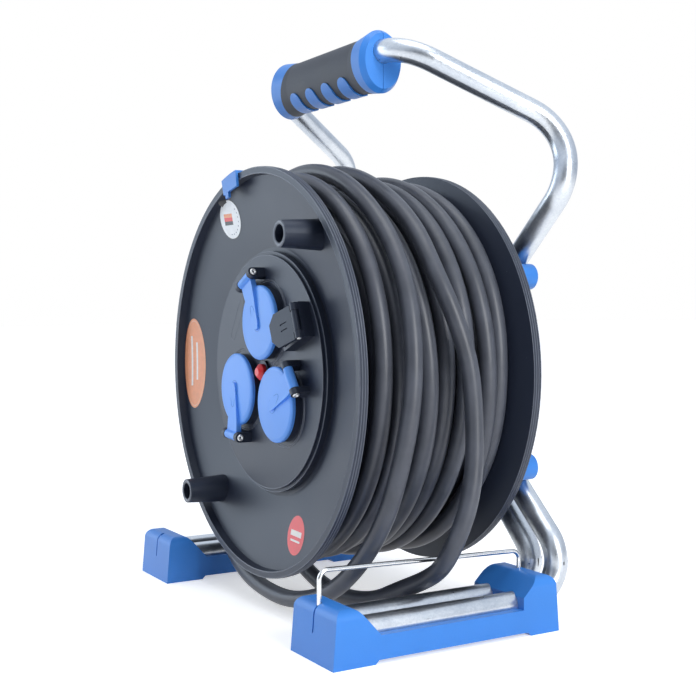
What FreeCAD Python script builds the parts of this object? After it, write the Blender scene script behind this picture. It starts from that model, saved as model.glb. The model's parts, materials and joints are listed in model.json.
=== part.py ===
import FreeCAD, Part
import math
import os
import re
import Sketcher
from FreeCAD import Vector

# Extension cable reel on a bent tube stand, with a three-outlet drum and a hand grip.
# The cable's free end hangs in two loose turns round the drum and ends in a plug.
# X runs to the right foot, Y to the tubes behind the drum, Z up. The pieces are drawn with
# the origin on the floor, midway between the feet and midway between the drum's two rims.
# They are written out with it moved back, to the middle of the whole reel's depth.
# The drum's own pieces are drawn about its axle: local X to the right foot, local Y up
# and local Z toward the socket side, so that their angles read as on the socket side.

# Driving dimensions in millimetres, and angles in degrees
SIZES = [
    # Drum
    ("centre_z", 169.5, "height of the drum's axle above the floor"),
    ("drum_r", 145, "outer radius of both flanges"),
    ("drum_w", 142, "width over the two rims"),
    ("flange_wall", 3, "wall of the flanges"),
    ("rim_band", 6.3, "width of a rim's outer band"),
    ("rim_lip", 4.3, "thickness of a rim's lip"),
    ("rim_step", 6, "drop from the lip to the dished face"),
    ("shoulder_in", 19, "rim to the shoulder where the dish steepens"),
    ("shoulder_back", 9, "rim plane to that shoulder"),
    ("dish_r", 89, "radius of the flat floor of the dish"),
    ("dish_back", 16.5, "rim plane to the floor of the dish"),
    ("hollow_r", 62, "opening behind the socket panel"),
    ("barrel_r", 80, "outer radius of the barrel"),
    ("barrel_wall", 3, "wall of the barrel"),
    ("column_inset", 10, "barrel's outside to the middle of its screw columns"),
    ("column_r", 7.5, "radius of a screw column"),
    ("column_angle", 45, "angle of the first screw column"),
    ("column_count", 4, "screw columns in the barrel"),
    ("drum_screw_r", 2, "radius of a drum screw"),
    ("drum_screw_len", 22, "length of a drum screw under its head"),
    ("screw_slack", 0.2, "radial clearance round a screw"),
    ("stub_pitch_r", 121.2, "circle of the two winding stubs"),
    ("stub_angle", 50.6, "angle of the first winding stub"),
    ("stub_base_r", 10.5, "radius of a winding stub at its foot"),
    ("stub_tip_r", 8.9, "radius of a winding stub at its tip"),
    ("stub_bore_r", 6, "bore of a winding stub"),
    ("stub_reach", 19, "winding stub beyond the rim plane"),
    ("hub_r", 19, "radius of the hub on the rear flange"),
    ("hub_reach", 1.4, "hub beyond the rear rim plane"),
    ("hub_depth", 40, "hub inside the rear flange's floor"),
    ("bush_wall", 3, "wall of the bearing bush"),
    ("bush_fit", 0.05, "running clearance of the axle in its bush"),
    ("seat_gap", 0.3, "clearance between pieces that rest by each other"),
    # Socket panel
    ("panel_r", 86, "radius of the socket panel's foot"),
    ("panel_h", 7, "height of the socket panel"),
    ("panel_step", 2.5, "step in the panel's edge"),
    ("panel_step_h", 2, "depth of that step"),
    ("panel_wall", 3, "wall of the socket panel"),
    ("panel_screw_pitch_r", 67.5, "circle of the panel screws"),
    ("panel_screw_count", 3, "panel screws"),
    ("panel_screw_len", 6.5, "length of a panel screw under its head"),
    ("panel_boss_r", 4.5, "radius of a boss for a panel screw"),
    ("gasket_wall", 2, "width of the panel gasket"),
    ("gasket_h", 1, "thickness of the panel gasket"),
    ("socket_pitch_r", 35.6, "circle of the socket centres"),
    ("socket_count", 3, "sockets in the panel"),
    ("socket_angle", 83.4, "angle of the first socket"),
    ("socket_r", 22.5, "opening of a socket in the panel"),
    ("collar_wall", 3.5, "wall of the collar round a socket"),
    ("collar_h", 4.5, "height of that collar"),
    ("insert_floor_wall", 4, "floor of a socket insert"),
    ("recess_r", 19.5, "recess of a socket insert"),
    ("recess_depth", 17.5, "depth of that recess"),
    ("pin_pitch", 19, "distance between the two contacts"),
    ("contact_r", 3.2, "outer radius of a contact sleeve"),
    ("contact_bore_r", 2.5, "bore of a contact sleeve"),
    ("contact_len", 10, "length of a contact sleeve"),
    ("earth_w", 4, "width of an earth clip"),
    ("earth_t", 0.8, "thickness of an earth clip"),
    ("button_r", 5.8, "radius of the red reset button"),
    ("button_rise", 7, "button above the panel"),
    ("button_stroke", 2, "travel of the button"),
    ("button_fit", 0.1, "clearance of the button in its hole"),
    ("bezel_wall", 2.2, "wall of the ring round the button"),
    ("bezel_h", 2, "height of that ring"),
    ("cutout_w", 16, "width of the thermal cut-out"),
    ("cutout_len", 26, "depth of the thermal cut-out"),
    ("cutout_neck_r", 8.4, "radius of the cut-out's neck"),
    ("button_collar_r", 7.2, "radius of the button's inner collar"),
    ("button_collar_h", 1, "thickness of that collar"),
    ("button_edge", 1.3, "bevel of the button's top"),
    # Lids
    ("lid_r", 26.4, "radius of a socket lid"),
    ("lid_edge", 2.6, "thickness of a lid at its edge"),
    ("lid_dome", 1.6, "rise of a lid's middle over its edge"),
    ("lid_gap", 0.5, "lid above the collar when shut"),
    ("seal_wall", 2.2, "width of a lid's seal ring"),
    ("seal_h", 1, "thickness of a lid's seal ring"),
    ("hinge_reach", 34, "lid centre to its hinge pin"),
    ("hinge_rise", 9.3, "hinge pin above the panel"),
    ("knuckle_half", 8, "half width of a lid's knuckle"),
    ("knuckle_r", 3.4, "radius of a lid's knuckle"),
    ("lug_wall", 4.2, "width of a hinge lug"),
    ("lug_gap", 0.3, "side clearance of a knuckle"),
    ("pin_r", 1.5, "radius of a hinge pin"),
    ("pin_fit", 0.08, "clearance of a knuckle round its pin"),
    ("arm_tip_half", 3.4, "half width of the raised arm's tip"),
    ("arm_rise", 1.1, "raised arm above the lid"),
    ("arm_foot_share", 0.92, "share of the knuckle's half width kept at the lid's edge"),
    ("arm_neck_share", 0.7, "share of it kept at the arm's neck"),
    ("arm_neck_at_share", 0.45, "share of the lid's radius out to that neck"),
    ("spring_half", 2.6, "half width of a lid spring"),
    ("spring_wall", 0.6, "wire of a lid spring"),
    ("hinge_angle_one", 117, "direction of the first lid's hinge"),
    ("hinge_angle_two", 266, "direction of the second lid's hinge"),
    ("hinge_angle_three", 35, "direction of the third lid's hinge"),
    # Flap box beside the first socket
    ("flap_x", 65, "flap hinge to the right of the axle"),
    ("flap_y", 37.4, "flap hinge above the axle"),
    ("flap_angle", 21, "direction that the flap hinge faces"),
    ("flap_rise", 10, "flap hinge above the panel"),
    ("flap_len", 27, "length of the flap"),
    ("flap_w", 24, "width of the flap"),
    ("flap_t", 2.4, "thickness of the flap"),
    ("flap_groove_from", 16, "hinge to the far end of the flap's two grooves"),
    ("flap_groove_len", 7, "length of those grooves"),
    ("flap_groove_w", 1, "width of those grooves"),
    ("flap_groove_deep", 0.6, "depth of those grooves"),
    ("flap_groove_aside", 2.2, "flap's middle to a groove"),
    ("flap_ajar", 12, "angle at which the flap stands open"),
    ("flap_knuckle_half", 7, "half width of the flap's knuckle"),
    ("flap_box_wall", 2, "wall of the flap box"),
    # Edge clip
    ("clip_angle", 104, "angle of the edge clip"),
    ("clip_span", 9.6, "angle that the edge clip covers"),
    ("clip_wall", 2, "wall of the edge clip"),
    ("clip_depth", 9.5, "edge clip along the rim's face"),
    ("clip_tongue", 5, "width of the clip's tongue"),
    ("clip_tongue_aside", 6, "tongue beside the clip's middle"),
    ("clip_tongue_len", 4, "length of the clip's tongue"),
    # Cable
    ("cable_r", 6, "radius of the cable"),
    ("wind_inset", 14, "rim to the outer layer's centre line"),
    ("wind_dive", 19, "drop of the outer layer into the coil at its start"),
    ("tail_arc_share", 0.45, "share of the free end's shorter run taken by each bend"),
    ("straight_below", 0.000001, "lean below which an arc counts as a straight line"),
    ("wind_least", 12.3, "least advance of a turn"),
    ("wind_front", 21, "front rim to the last turn's centre line"),
    ("wind_rear", 21, "rear rim to the first turn's centre line"),
    ("core_gap", 0.3, "coil's inner layers to what they lie on"),
    ("gland_angle", 180, "angle of the cable gland in the barrel"),
    ("gland_back", 20, "gland behind the drum's middle"),
    ("gland_r", 9, "radius of the cable gland"),
    ("gland_len", 16, "length of the cable gland"),
    ("gland_nut_r", 12.5, "corner radius of the gland's nut"),
    ("gland_nut_h", 5, "height of the gland's nut"),
    ("lead_bend_r", 16, "bend of the cable inside the barrel"),
    ("block_x", 45, "terminal block from the axle"),
    ("wire_r", 1.6, "radius of an inner wire"),
    ("wire_bend_r", 7, "bends of an inner wire"),
    ("wire_rise", 6, "spacing of the inner wires' crossings"),
    ("wire_outer_share", 0.8, "share of the block's half length out to its outer wires"),
    ("wire_inner_share", 0.5, "share of it out to the wire between them"),
    ("block_len", 34, "length of the terminal block"),
    ("block_w", 16, "width of the terminal block"),
    ("block_h", 14, "height of the terminal block"),
    # Tubes
    ("tube_r", 8, "radius of the stand's tubes"),
    ("tube_wall", 1.5, "wall of the stand's tubes"),
    ("tube_slack", 0.1, "clearance round a tube in a clamp"),
    ("tube_gap", 16, "rear rim to the middle of the tubes behind it"),
    ("lane_outer", 142, "outer tube in a foot"),
    ("lane_inner", 115.6, "inner tube in a foot"),
    ("lane_z", 19, "height of the tubes in a foot"),
    ("lane_front", 88, "drum's middle to the tubes' front ends"),
    ("heel_outer_z", 52.6, "height of the outer tube's second bend"),
    ("heel_inner_z", 45.1, "height of the inner tube's second bend"),
    ("heel_outer_r", 24.8, "outer tube's bends behind the foot"),
    ("heel_inner_r", 22.3, "inner tube's bends behind the foot"),
    ("waist_x", 13.5, "corner of the handle tube beside the axle"),
    ("waist_r", 25, "bend of the handle tube beside the axle"),
    ("apex_drop", 9.9, "axle to the corner of the inner tube"),
    ("apex_r", 40, "bend of the inner tube under the axle"),
    ("elbow_x", 149.9, "handle tube's elbow from the middle"),
    ("elbow_z", 296.9, "height of that elbow"),
    ("shoulder_x", 138.4, "handle tube's shoulder from the middle"),
    ("shoulder_set", 9.7, "handle tube's shoulder behind the other bends"),
    ("shoulder_z", 336.6, "height of that shoulder"),
    ("shoulder_r", 36, "bend of the shoulder"),
    ("elbow_r", 24.8, "bend of the elbow"),
    ("grip_corner_x", 92.5, "handle tube's corner beside the grip"),
    ("grip_front_set", 5.7, "grip before the drum's middle"),
    ("grip_z", 389.8, "height of the tube in the grip"),
    ("grip_corner_r", 34, "bend beside the grip"),
    # Feet
    ("foot_x", 129.2, "middle of a foot"),
    ("foot_half", 26.7, "half width of a foot on the floor"),
    ("foot_top_half", 20.6, "half width of a foot at its top"),
    ("foot_front", 96.3, "drum's middle to a foot's front"),
    ("foot_rear", 77.7, "drum's middle to a foot's rear"),
    ("foot_lean", 3, "lean of a foot's front"),
    ("foot_nose_h", 35, "height of a foot's front hump"),
    ("foot_heel_h", 38, "height of a foot's rear hump"),
    ("foot_trough_h", 17.5, "height of the trough between the humps"),
    ("foot_nose_len", 18, "length of the front hump's top"),
    ("foot_nose_fall", 16, "length of the front hump's slope"),
    ("foot_heel_len", 17, "length of the rear hump"),
    ("foot_heel_fall", 13, "length of the rear hump's slope"),
    ("foot_mouth", 8, "upright edge under the rear hump's slope"),
    ("foot_pad_len", 32.5, "length of the pad under a foot's front"),
    ("foot_heel_pad_len", 26.2, "length of the pad under its rear"),
    ("foot_arch", 2.5, "rise between the pads"),
    ("foot_pad_w", 9, "width of each corner pad"),
    ("foot_crown", 7, "rounding of the humps' tops"),
    ("slit_w", 1.4, "width of the slit in a foot's front"),
    ("slit_h", 18, "height of that slit"),
    ("slit_deep", 2, "depth of that slit"),
    ("foot_screw_r", 2, "radius of a foot screw"),
    ("foot_screw_sink", 5, "depth of a foot screw's head"),
    ("foot_screw_front", 70, "drum's middle to the front foot screws"),
    ("foot_screw_rear", 40, "drum's middle to the rear foot screws"),
    ("foot_screw_len", 9, "length of a foot screw under its head"),
    ("head_r", 4, "radius of a screw head"),
    ("head_h", 2.6, "height of a screw head"),
    ("bail_r", 1.5, "radius of the wire bail"),
    ("bail_x", 127.8, "wire bail from the middle"),
    ("bail_z", 54.7, "height of the wire bail's front corner"),
    ("bail_rear_z", 50, "height of its rear corner"),
    ("bail_root_z", 24, "height of the bail's ends"),
    ("bail_front", 89.7, "drum's middle to the bail's front leg"),
    ("bail_rear", 66.1, "drum's middle to the bail's rear leg"),
    ("bail_bend", 6, "bend of the bail's corners"),
    # Bracket and axle
    ("bracket_gap", 2.5, "rear rim to the bracket"),
    ("bracket_hub_r", 30, "radius of the bracket's middle"),
    ("boss_r", 15, "radius of the bracket's boss"),
    ("boss_back", 4, "boss behind the tubes' middle"),
    ("arm_len", 103, "length of a bracket arm along its tube"),
    ("arm_half", 10.5, "half width of a bracket arm"),
    ("arm_side", 9, "arm beside its tube, toward the axle"),
    ("ear_along", 116, "ear of a bracket arm along its tube"),
    ("ear_aside", 16.5, "ear beside its tube, toward the axle"),
    ("ear_r", 9, "radius of that ear"),
    ("ear_back", 3, "ear behind the tubes' middle"),
    ("cap_len", 24, "length of a clamp cap along its tube"),
    ("cap_from", 60, "clamp cap's start along its tube"),
    ("cap_back", 10.5, "clamp cap behind the tubes' middle"),
    ("parting", 0.6, "gap between the bracket and a clamp cap"),
    ("clamp_screw_r", 2.5, "radius of a clamp screw"),
    ("axle_r", 10, "radius of the axle"),
    ("nut_r", 16, "corner radius of the axle nut"),
    ("nut_h", 9, "height of the axle nut"),
    ("axle_tail", 3, "axle beyond its nut or ring"),
    ("ring_wall", 3.5, "width of the axle's snap ring"),
    ("ring_t", 2, "thickness of the axle's snap ring"),
    ("groove_deep", 1, "groove of the snap ring"),
    ("washer_r", 17, "radius of an axle washer"),
    ("washer_h", 1, "thickness of an axle washer"),
    # Grip
    ("grip_half", 69.5, "half length of the grip"),
    ("grip_drop", 6.2, "tube to the middle of the grip's section"),
    ("grip_cap_high", 21.5, "half height of the grip's collars"),
    ("grip_cap_deep", 17, "half depth of the grip's collars"),
    ("grip_end_shrink", 2.6, "chamfer of the grip's ends"),
    ("grip_end_len", 4.5, "length of that chamfer"),
    ("grip_waist_shrink", 2.6, "grip's waist below its collars"),
    ("grip_waist_half", 45, "half length of the grip's waist"),
    ("sleeve_wall", 2.2, "wall of the rubber sleeve"),
    ("sleeve_top_half", 46, "half length of the sleeve on top"),
    ("sleeve_low_half", 60, "half length of the sleeve below"),
    ("finger_pitch", 23.5, "distance between the finger pads"),
    ("finger_half", 7, "half width of a finger pad"),
    ("finger_top", 13, "tube's middle down to the round top of a finger pad"),
    ("finger_rise", 1, "finger pads beyond the sleeve"),
    ("finger_rear", 5, "finger pads behind the tube's middle"),
    ("grip_screw_x", 32, "grip screws from the middle"),
    ("grip_screw_drop", 14, "grip screws below the tube"),
    ("grip_screw_len", 12.5, "length of a grip screw under its head"),
    ("grip_screw_r", 1.6, "radius of a grip screw"),
    # Plug
    ("plug_x", 145, "plug from the middle, on the left"),
    ("plug_y", 23.5, "plug behind the drum's middle"),
    ("plug_top", 137.4, "height of the plug's cable end"),
    ("plug_neck_r", 7.5, "radius of the plug's cable end"),
    ("plug_neck_len", 22, "length of the plug's neck"),
    ("plug_throat_r", 9.5, "radius of the foot of the neck"),
    ("plug_waist_r", 13, "radius of the plug behind its flare"),
    ("plug_r", 18.8, "radius of the plug"),
    ("plug_flare_len", 20, "length of the plug's flare"),
    ("plug_head_len", 16, "length of the plug's head"),
    ("plug_pin_r", 2.4, "radius of a plug pin"),
    ("plug_pin_len", 19, "length of a plug pin"),
    ("plug_notch_w", 5, "width of a plug's earth groove"),
    ("plug_notch_deep", 2.2, "depth of a plug's earth groove"),
    # Cutting
    ("overrun", 2, "cuts beyond a face"),
    ("far", 400, "reach of a cut through everything"),
]

# Sizes that follow from the others
DERIVED = [
    ("tube_back", "drum_w / 2 + tube_gap", "drum's middle to the middle of the tubes behind it"),
    ("shoulder_y", "tube_back + shoulder_set", "drum's middle to the handle tube's shoulder"),
    ("grip_y", "-grip_front_set", "drum's middle to the tube in the grip"),
    ("column_pitch_r", "barrel_r - column_inset", "circle of the barrel's screw columns"),
    ("wind_r", "drum_r - wind_inset", "radius of the outer layer's centre line"),
    ("wind_span", "drum_w - wind_front - wind_rear", "first turn to the last one along the drum"),
    ("wind_turns", "floor(wind_span / wind_least)", "turns in the outer layer"),
    ("wind_pitch", "wind_span / wind_turns", "advance of a turn"),
    ("rear_reach", "tube_back + boss_back + washer_h + nut_h + axle_tail", "drum's middle to the axle's end"),
    ("middle_back", "(rear_reach - foot_front) / 2", "drum's middle to the middle of the whole depth"),
]

doc = FreeCAD.newDocument("cable_reel")
sheet = doc.addObject("Spreadsheet::Sheet", "sizes")
ROWS = SIZES + [(name, "=" + formula, note) for name, formula, note in DERIVED]
NAMES = [name for name, value, note in ROWS]
S = {}
for row, (name, value, note) in enumerate(ROWS, 1):
    sheet.set("A%d" % row, name)
    sheet.set("B%d" % row, str(value))
    sheet.setAlias("B%d" % row, name)
    sheet.set("C%d" % row, note)
doc.recompute()
for name in NAMES:
    S[name] = float(sheet.get(name))


# A formula in size names becomes one that reads the sheet
def bound(text):
    return re.sub(r"[a-z_]+", lambda word: "sizes." + word.group() if word.group() in S else word.group(), text)


# A place as a formula, with an optional turn about one axis by an angle
AXES = {"x": "1; 0; 0", "y": "0; 1; 0", "z": "0; 0; 1"}


def at(x="0", y="0", z="0", axis="z", angle="0"):
    spot = "create(<<vector>>; %s; %s; %s)" % (x, y, z)
    turn = "create(<<rotation>>; create(<<vector>>; %s); %s)" % (AXES[axis], angle)
    return "create(<<placement>>; %s; %s)" % (spot, turn)


DRUM = at(z="centre_z", axis="x", angle="90")
count = 0


def named(kind, label=None):
    global count
    count += 1
    item = doc.addObject(kind, label or "piece%d" % count)
    item.Label = label or item.Name
    return item


def prim(kind, place=None, **sizes):
    item = named("Part::" + kind)
    for key, formula in sizes.items():
        item.setExpression(key, bound(formula))
    if place:
        item.setExpression("Placement", bound(place))
    return item


def cylinder(radius, height, place=None):
    return prim("Cylinder", place, Radius=radius, Height=height)


def box(x, y, z, lx, ly, lz, place=None):
    corner = at(x, y, z)
    return prim("Box", place + " * " + corner if place else corner, Length=lx, Width=ly, Height=lz)


def join(items, kind="Part::MultiFuse", label=None):
    item = named(kind, label)
    item.Shapes = items
    return item


def cut(base, tools, label=None):
    item = named("Part::Cut", label)
    item.Base = base
    item.Tool = join(tools) if len(tools) > 1 else tools[0]
    return item


def common(base, tool, label=None):
    item = named("Part::Common", label)
    item.Base = base
    item.Tool = tool
    return item


def group(items, label):
    item = named("Part::Compound", label)
    item.Links = items
    return item


def shaped(shape, label=None):
    item = named("Part::Feature", label)
    item.Shape = shape
    return item


def placed(item, place):
    item.setExpression("Placement", bound(place))
    return item


# PartDesign bodies: sketches as closed outlines whose corners follow formulas
def body(label=None):
    return named("PartDesign::Body", label)


def origin_item(owner, role):
    return [item for item in owner.Origin.OriginFeatures if item.Role == role][0]


def outline(owner, role, corners, lift=None):
    sketch = owner.newObject("Sketcher::SketchObject", "outline")
    sketch.AttachmentSupport = [(origin_item(owner, role), "")]
    sketch.MapMode = "FlatFace"
    total = len(corners)
    ring = [Vector(math.cos(2 * math.pi * i / total), math.sin(2 * math.pi * i / total), 0) for i in range(total)]
    for i in range(total):
        sketch.addGeometry(Part.LineSegment(ring[i], ring[(i + 1) % total]), False)
    for i in range(total):
        sketch.addConstraint(Sketcher.Constraint("Coincident", i, 2, (i + 1) % total, 1))
    for i, corner in enumerate(corners):
        for kind, formula, start in zip(("DistanceX", "DistanceY"), corner, ring[i]):
            number = sketch.addConstraint(Sketcher.Constraint(kind, -1, 1, i, 1, start))
            sketch.setExpression("Constraints[%d]" % number, bound(formula))
    if lift:
        sketch.setExpression("AttachmentOffset.Base.z", bound(lift))
    return sketch


def turned(owner, corners, cutting=False):
    sketch = outline(owner, "XZ_Plane", corners)
    item = owner.newObject("PartDesign::Groove" if cutting else "PartDesign::Revolution", "turned")
    item.Profile = (sketch, [])
    item.ReferenceAxis = (sketch, ["V_Axis"])
    item.Angle = 360
    return item


def pad(owner, role, corners, length, lift=None, symmetric=False):
    item = owner.newObject("PartDesign::Pad", "pad")
    item.Profile = outline(owner, role, corners, lift)
    item.setExpression("Length", bound(length))
    item.Midplane = symmetric
    return item


def pocket(owner, role, corners, lift=None):
    item = owner.newObject("PartDesign::Pocket", "pocket")
    item.Profile = outline(owner, role, corners, lift)
    item.Type = "ThroughAll"
    item.Midplane = True
    return item


def feature(owner, kind, place, **sizes):
    item = owner.newObject("PartDesign::" + kind, kind.lower())
    item.AttachmentSupport = [(origin_item(owner, "XY_Plane"), "")]
    item.MapMode = "FlatFace"
    for key, formula in sizes.items():
        item.setExpression(key, bound(formula))
    item.setExpression("AttachmentOffset", bound(place))
    return item


def polar(owner, originals, copies):
    item = owner.newObject("PartDesign::PolarPattern", "polar")
    item.Originals = originals
    item.Axis = (origin_item(owner, "Z_Axis"), [""])
    item.Angle = 360
    item.setExpression("Occurrences", bound(copies))
    owner.Tip = item
    return item


# Paths of straight runs joined by tangent arcs, and round bars along them
def turn_angle(before, corner, after):
    return (corner - before).getAngle(after - corner)


def bent_path(points, radii):
    edges = []
    start = points[0]
    for before, corner, after, radius in zip(points, points[1:], points[2:], radii):
        half = turn_angle(before, corner, after) / 2
        setback = radius * math.tan(half)
        back = (before - corner).normalize()
        onward = (after - corner).normalize()
        middle = (back + onward).normalize() * (radius / math.cos(half) - radius)
        first = corner + back * setback
        last = corner + onward * setback
        edges.append(Part.LineSegment(start, first).toShape())
        edges.append(Part.Arc(first, corner + middle, last).toShape())
        start = last
    edges.append(Part.LineSegment(start, points[-1]).toShape())
    return Part.Wire(edges)


def bar(path, radius):
    start = path.OrderedEdges[0]
    ring = Part.Wire(Part.Circle(start.valueAt(start.FirstParameter), start.tangentAt(start.FirstParameter),
                                 radius).toShape())
    return path.makePipeShell([ring], True, False)


def mirrored_points(points):
    return [Vector(-p.x, p.y, p.z) for p in reversed(points)]


# Handle tube: foot, heel, beside the axle, elbow, shoulder and grip, and back on the left
def handle_path():
    right = [
        Vector(S["lane_outer"], -S["lane_front"], S["lane_z"]),
        Vector(S["lane_outer"], S["tube_back"], S["lane_z"]),
        Vector(S["lane_outer"], S["tube_back"], S["heel_outer_z"]),
        Vector(S["waist_x"], S["tube_back"], S["centre_z"]),
        Vector(S["elbow_x"], S["tube_back"], S["elbow_z"]),
        Vector(S["shoulder_x"], S["shoulder_y"], S["shoulder_z"]),
        Vector(S["grip_corner_x"], S["grip_y"], S["grip_z"]),
    ]
    names = ["heel_outer_r", "heel_outer_r", "waist_r", "elbow_r", "shoulder_r", "grip_corner_r"]
    radii = [S[name] for name in names]
    return bent_path(right + mirrored_points(right), radii + radii[::-1])


# Stand tube: foot, heel and under the axle, and back on the left
def stand_path():
    right = [
        Vector(S["lane_inner"], -S["lane_front"], S["lane_z"]),
        Vector(S["lane_inner"], S["tube_back"], S["lane_z"]),
        Vector(S["lane_inner"], S["tube_back"], S["heel_inner_z"]),
    ]
    apex = Vector(0, S["tube_back"], S["centre_z"] - S["apex_drop"])
    radii = [S["heel_inner_r"], S["heel_inner_r"]]
    return bent_path(right + [apex] + mirrored_points(right), radii + [S["apex_r"]] + radii)


def foot_screw_spots():
    lanes = [S["lane_outer"], S["lane_inner"]]
    rows = [-S["foot_screw_front"], S["foot_screw_rear"]]
    return [(side * lane, row) for side in (1, -1) for lane in lanes for row in rows]


def tube(path, label):
    hollow = bar(path, S["tube_r"]).cut(bar(path, S["tube_r"] - S["tube_wall"]))
    hole_r = S["foot_screw_r"] + S["screw_slack"]
    holes = [Part.makeCylinder(hole_r, S["lane_z"], Vector(x, y, 0)) for x, y in foot_screw_spots()]
    return shaped(hollow.cut(Part.makeCompound(holes)), label)


def tube_room():
    radius = S["tube_r"] + S["tube_slack"]
    return shaped(Part.makeCompound([bar(handle_path(), radius), bar(stand_path(), radius)]))


# Feet: one moulding with two humps, a trough for the tubes and screws from below
def foot_blank():
    owner = body()
    front = "-foot_front"
    slope = "foot_rear - foot_heel_len"
    side = [
        (front, "0"),
        (front + " + foot_lean", "foot_nose_h"),
        (front + " + foot_nose_len", "foot_nose_h"),
        (front + " + foot_nose_len + foot_nose_fall", "foot_trough_h"),
        (slope + " - foot_heel_fall", "foot_trough_h"),
        (slope + " - foot_heel_fall", "foot_trough_h + foot_mouth"),
        (slope, "foot_heel_h"),
        ("foot_rear - foot_lean", "foot_heel_h"),
        ("foot_rear", "0"),
        ("foot_rear - foot_heel_pad_len + foot_arch", "0"),
        ("foot_rear - foot_heel_pad_len", "foot_arch"),
        (front + " + foot_pad_len", "foot_arch"),
        (front + " + foot_pad_len - foot_arch", "0"),
    ]
    blank = pad(owner, "YZ_Plane", side, "2 * foot_half", "foot_x - foot_half")
    for sign in ("+", "-"):
        wedge = [
            ("foot_x %s foot_half" % sign, "0"),
            ("foot_x %s (foot_half + overrun)" % sign, "0"),
            ("foot_x %s (foot_half + overrun)" % sign, "foot_heel_h + overrun"),
            ("foot_x %s foot_top_half" % sign, "foot_heel_h + overrun"),
        ]
        pocket(owner, "XZ_Plane", wedge)
    inner = "(foot_half - foot_pad_w)"
    arch = [
        ("foot_x - %s" % inner, "-overrun"),
        ("foot_x + %s" % inner, "-overrun"),
        ("foot_x + %s - foot_arch" % inner, "foot_arch"),
        ("foot_x - %s + foot_arch" % inner, "foot_arch"),
    ]
    pocket(owner, "XZ_Plane", arch)
    doc.recompute()
    crown = [S["foot_nose_h"] - S["overrun"], S["foot_heel_h"] - S["overrun"]]
    soft = owner.newObject("PartDesign::Fillet", "rounding")
    tip = owner.Tip if owner.Tip != soft else blank
    picked = []
    for number, edge in enumerate(tip.Shape.Edges, 1):
        middle = edge.BoundBox.Center.y
        if edge.BoundBox.ZMin > crown[middle > 0]:
            picked.append("Edge%d" % number)
    soft.Base = (tip, picked)
    soft.setExpression("Radius", bound("foot_crown"))
    owner.Tip = soft
    return owner


def foot_parts(room):
    tools = [room]
    for lane in ("lane_outer", "lane_inner"):
        for row in ("-foot_screw_front", "foot_screw_rear"):
            tools.append(cylinder("foot_screw_r + screw_slack", "lane_z", at(lane, row)))
            tools.append(cylinder("head_r + screw_slack", "foot_screw_sink", at(lane, row)))
    for row in ("-bail_front", "bail_rear"):
        tools.append(cylinder("bail_r + screw_slack", "far", at("bail_x", row, "bail_root_z")))
    tools.append(box("bail_x", "-foot_front", "foot_nose_h - slit_h", "slit_w", "slit_deep + foot_lean", "far"))
    right = cut(foot_blank(), tools, "foot_right")
    left = named("Part::Mirroring", "foot_left")
    left.Source = right
    left.Base = (0, 0, 0)
    left.Normal = (1, 0, 0)
    return [right, left]


def screw(radius, length, place, head="head_r"):
    shank = cylinder(radius, length + " + head_h", place)
    return join([shank, cylinder(head, "head_h", place)])


def foot_screws():
    screws = []
    for side in ("", "-"):
        for lane in ("lane_outer", "lane_inner"):
            for row in ("-foot_screw_front", "foot_screw_rear"):
                place = at(side + lane, row, "foot_screw_sink - head_h")
                screws.append(screw("foot_screw_r", "foot_screw_len", place))
    return group(screws, "foot_screws")


def bail():
    legs = [Vector(S["bail_x"], y, z) for y, z in (
        (-S["bail_front"], S["bail_root_z"]), (-S["bail_front"], S["bail_z"]),
        (S["bail_rear"], S["bail_rear_z"]), (S["bail_rear"], S["bail_root_z"]))]
    return shaped(bar(bent_path(legs, [S["bail_bend"]] * 2), S["bail_r"]), "bail")


# Bracket: arms along the tubes in front of them, clamp caps behind and a boss for the axle
HALF = "(drum_w / 2)"
BRACKET_FRONT = "(%s + bracket_gap)" % HALF
SLOPE_UP = "atan((elbow_z - centre_z) / (elbow_x - waist_x))"
SLOPE_LOW = "atan((centre_z - heel_outer_z) / (lane_outer - waist_x))"


# A frame whose local X runs out along a tube from its corner beside the axle
def tube_frame(upper):
    return at("waist_x", "0", "centre_z", "y", "-" + SLOPE_UP if upper else SLOPE_LOW)


# A bar along a tube, from beside it on the axle's side to beyond it
def along_tube(upper, first, last, front, back):
    low, high = ("-(arm_half + arm_side)", "arm_half") if upper else ("-arm_half", "arm_half + arm_side")
    return box(first, front, low, "(%s) - (%s)" % (last, first), "(%s) - (%s)" % (back, front),
               "(%s) - (%s)" % (high, low), tube_frame(upper))


# The round ear beside a tube at the end of an arm, on a neck from the arm
def ear(upper):
    aside = "-ear_aside" if upper else "ear_aside"
    back = "tube_back + ear_back"
    deep = "(%s) - %s" % (back, BRACKET_FRONT)
    place = tube_frame(upper) + " * "
    low = aside + " - ear_r / 2"
    reach = "ear_along - arm_len + ear_r"
    neck = box("arm_len - ear_r", BRACKET_FRONT, low, reach, deep, "ear_r", tube_frame(upper))
    return [cylinder("ear_r", deep, place + at("ear_along", back, aside, "x", "90")), neck]


def mirror(item, label=None):
    image = named("Part::Mirroring", label)
    image.Source = item
    image.Base = (0, 0, 0)
    image.Normal = (1, 0, 0)
    return image


def behind(depth):
    return at("0", depth, "centre_z", "x", "90")


def clamp_spots():
    spots = []
    for upper in (True, False):
        aside = "-(arm_half + arm_side / 2)" if upper else "arm_half + arm_side / 2"
        spots.append((upper, "cap_from + cap_len / 2", aside))
    return spots


def clamp_holes():
    holes = []
    for upper, along, aside in clamp_spots():
        place = tube_frame(upper) + " * " + at(along, "far", aside, "x", "90")
        hole = cylinder("clamp_screw_r + screw_slack", "far", place)
        holes += [hole, mirror(hole)]
    return holes


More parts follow.
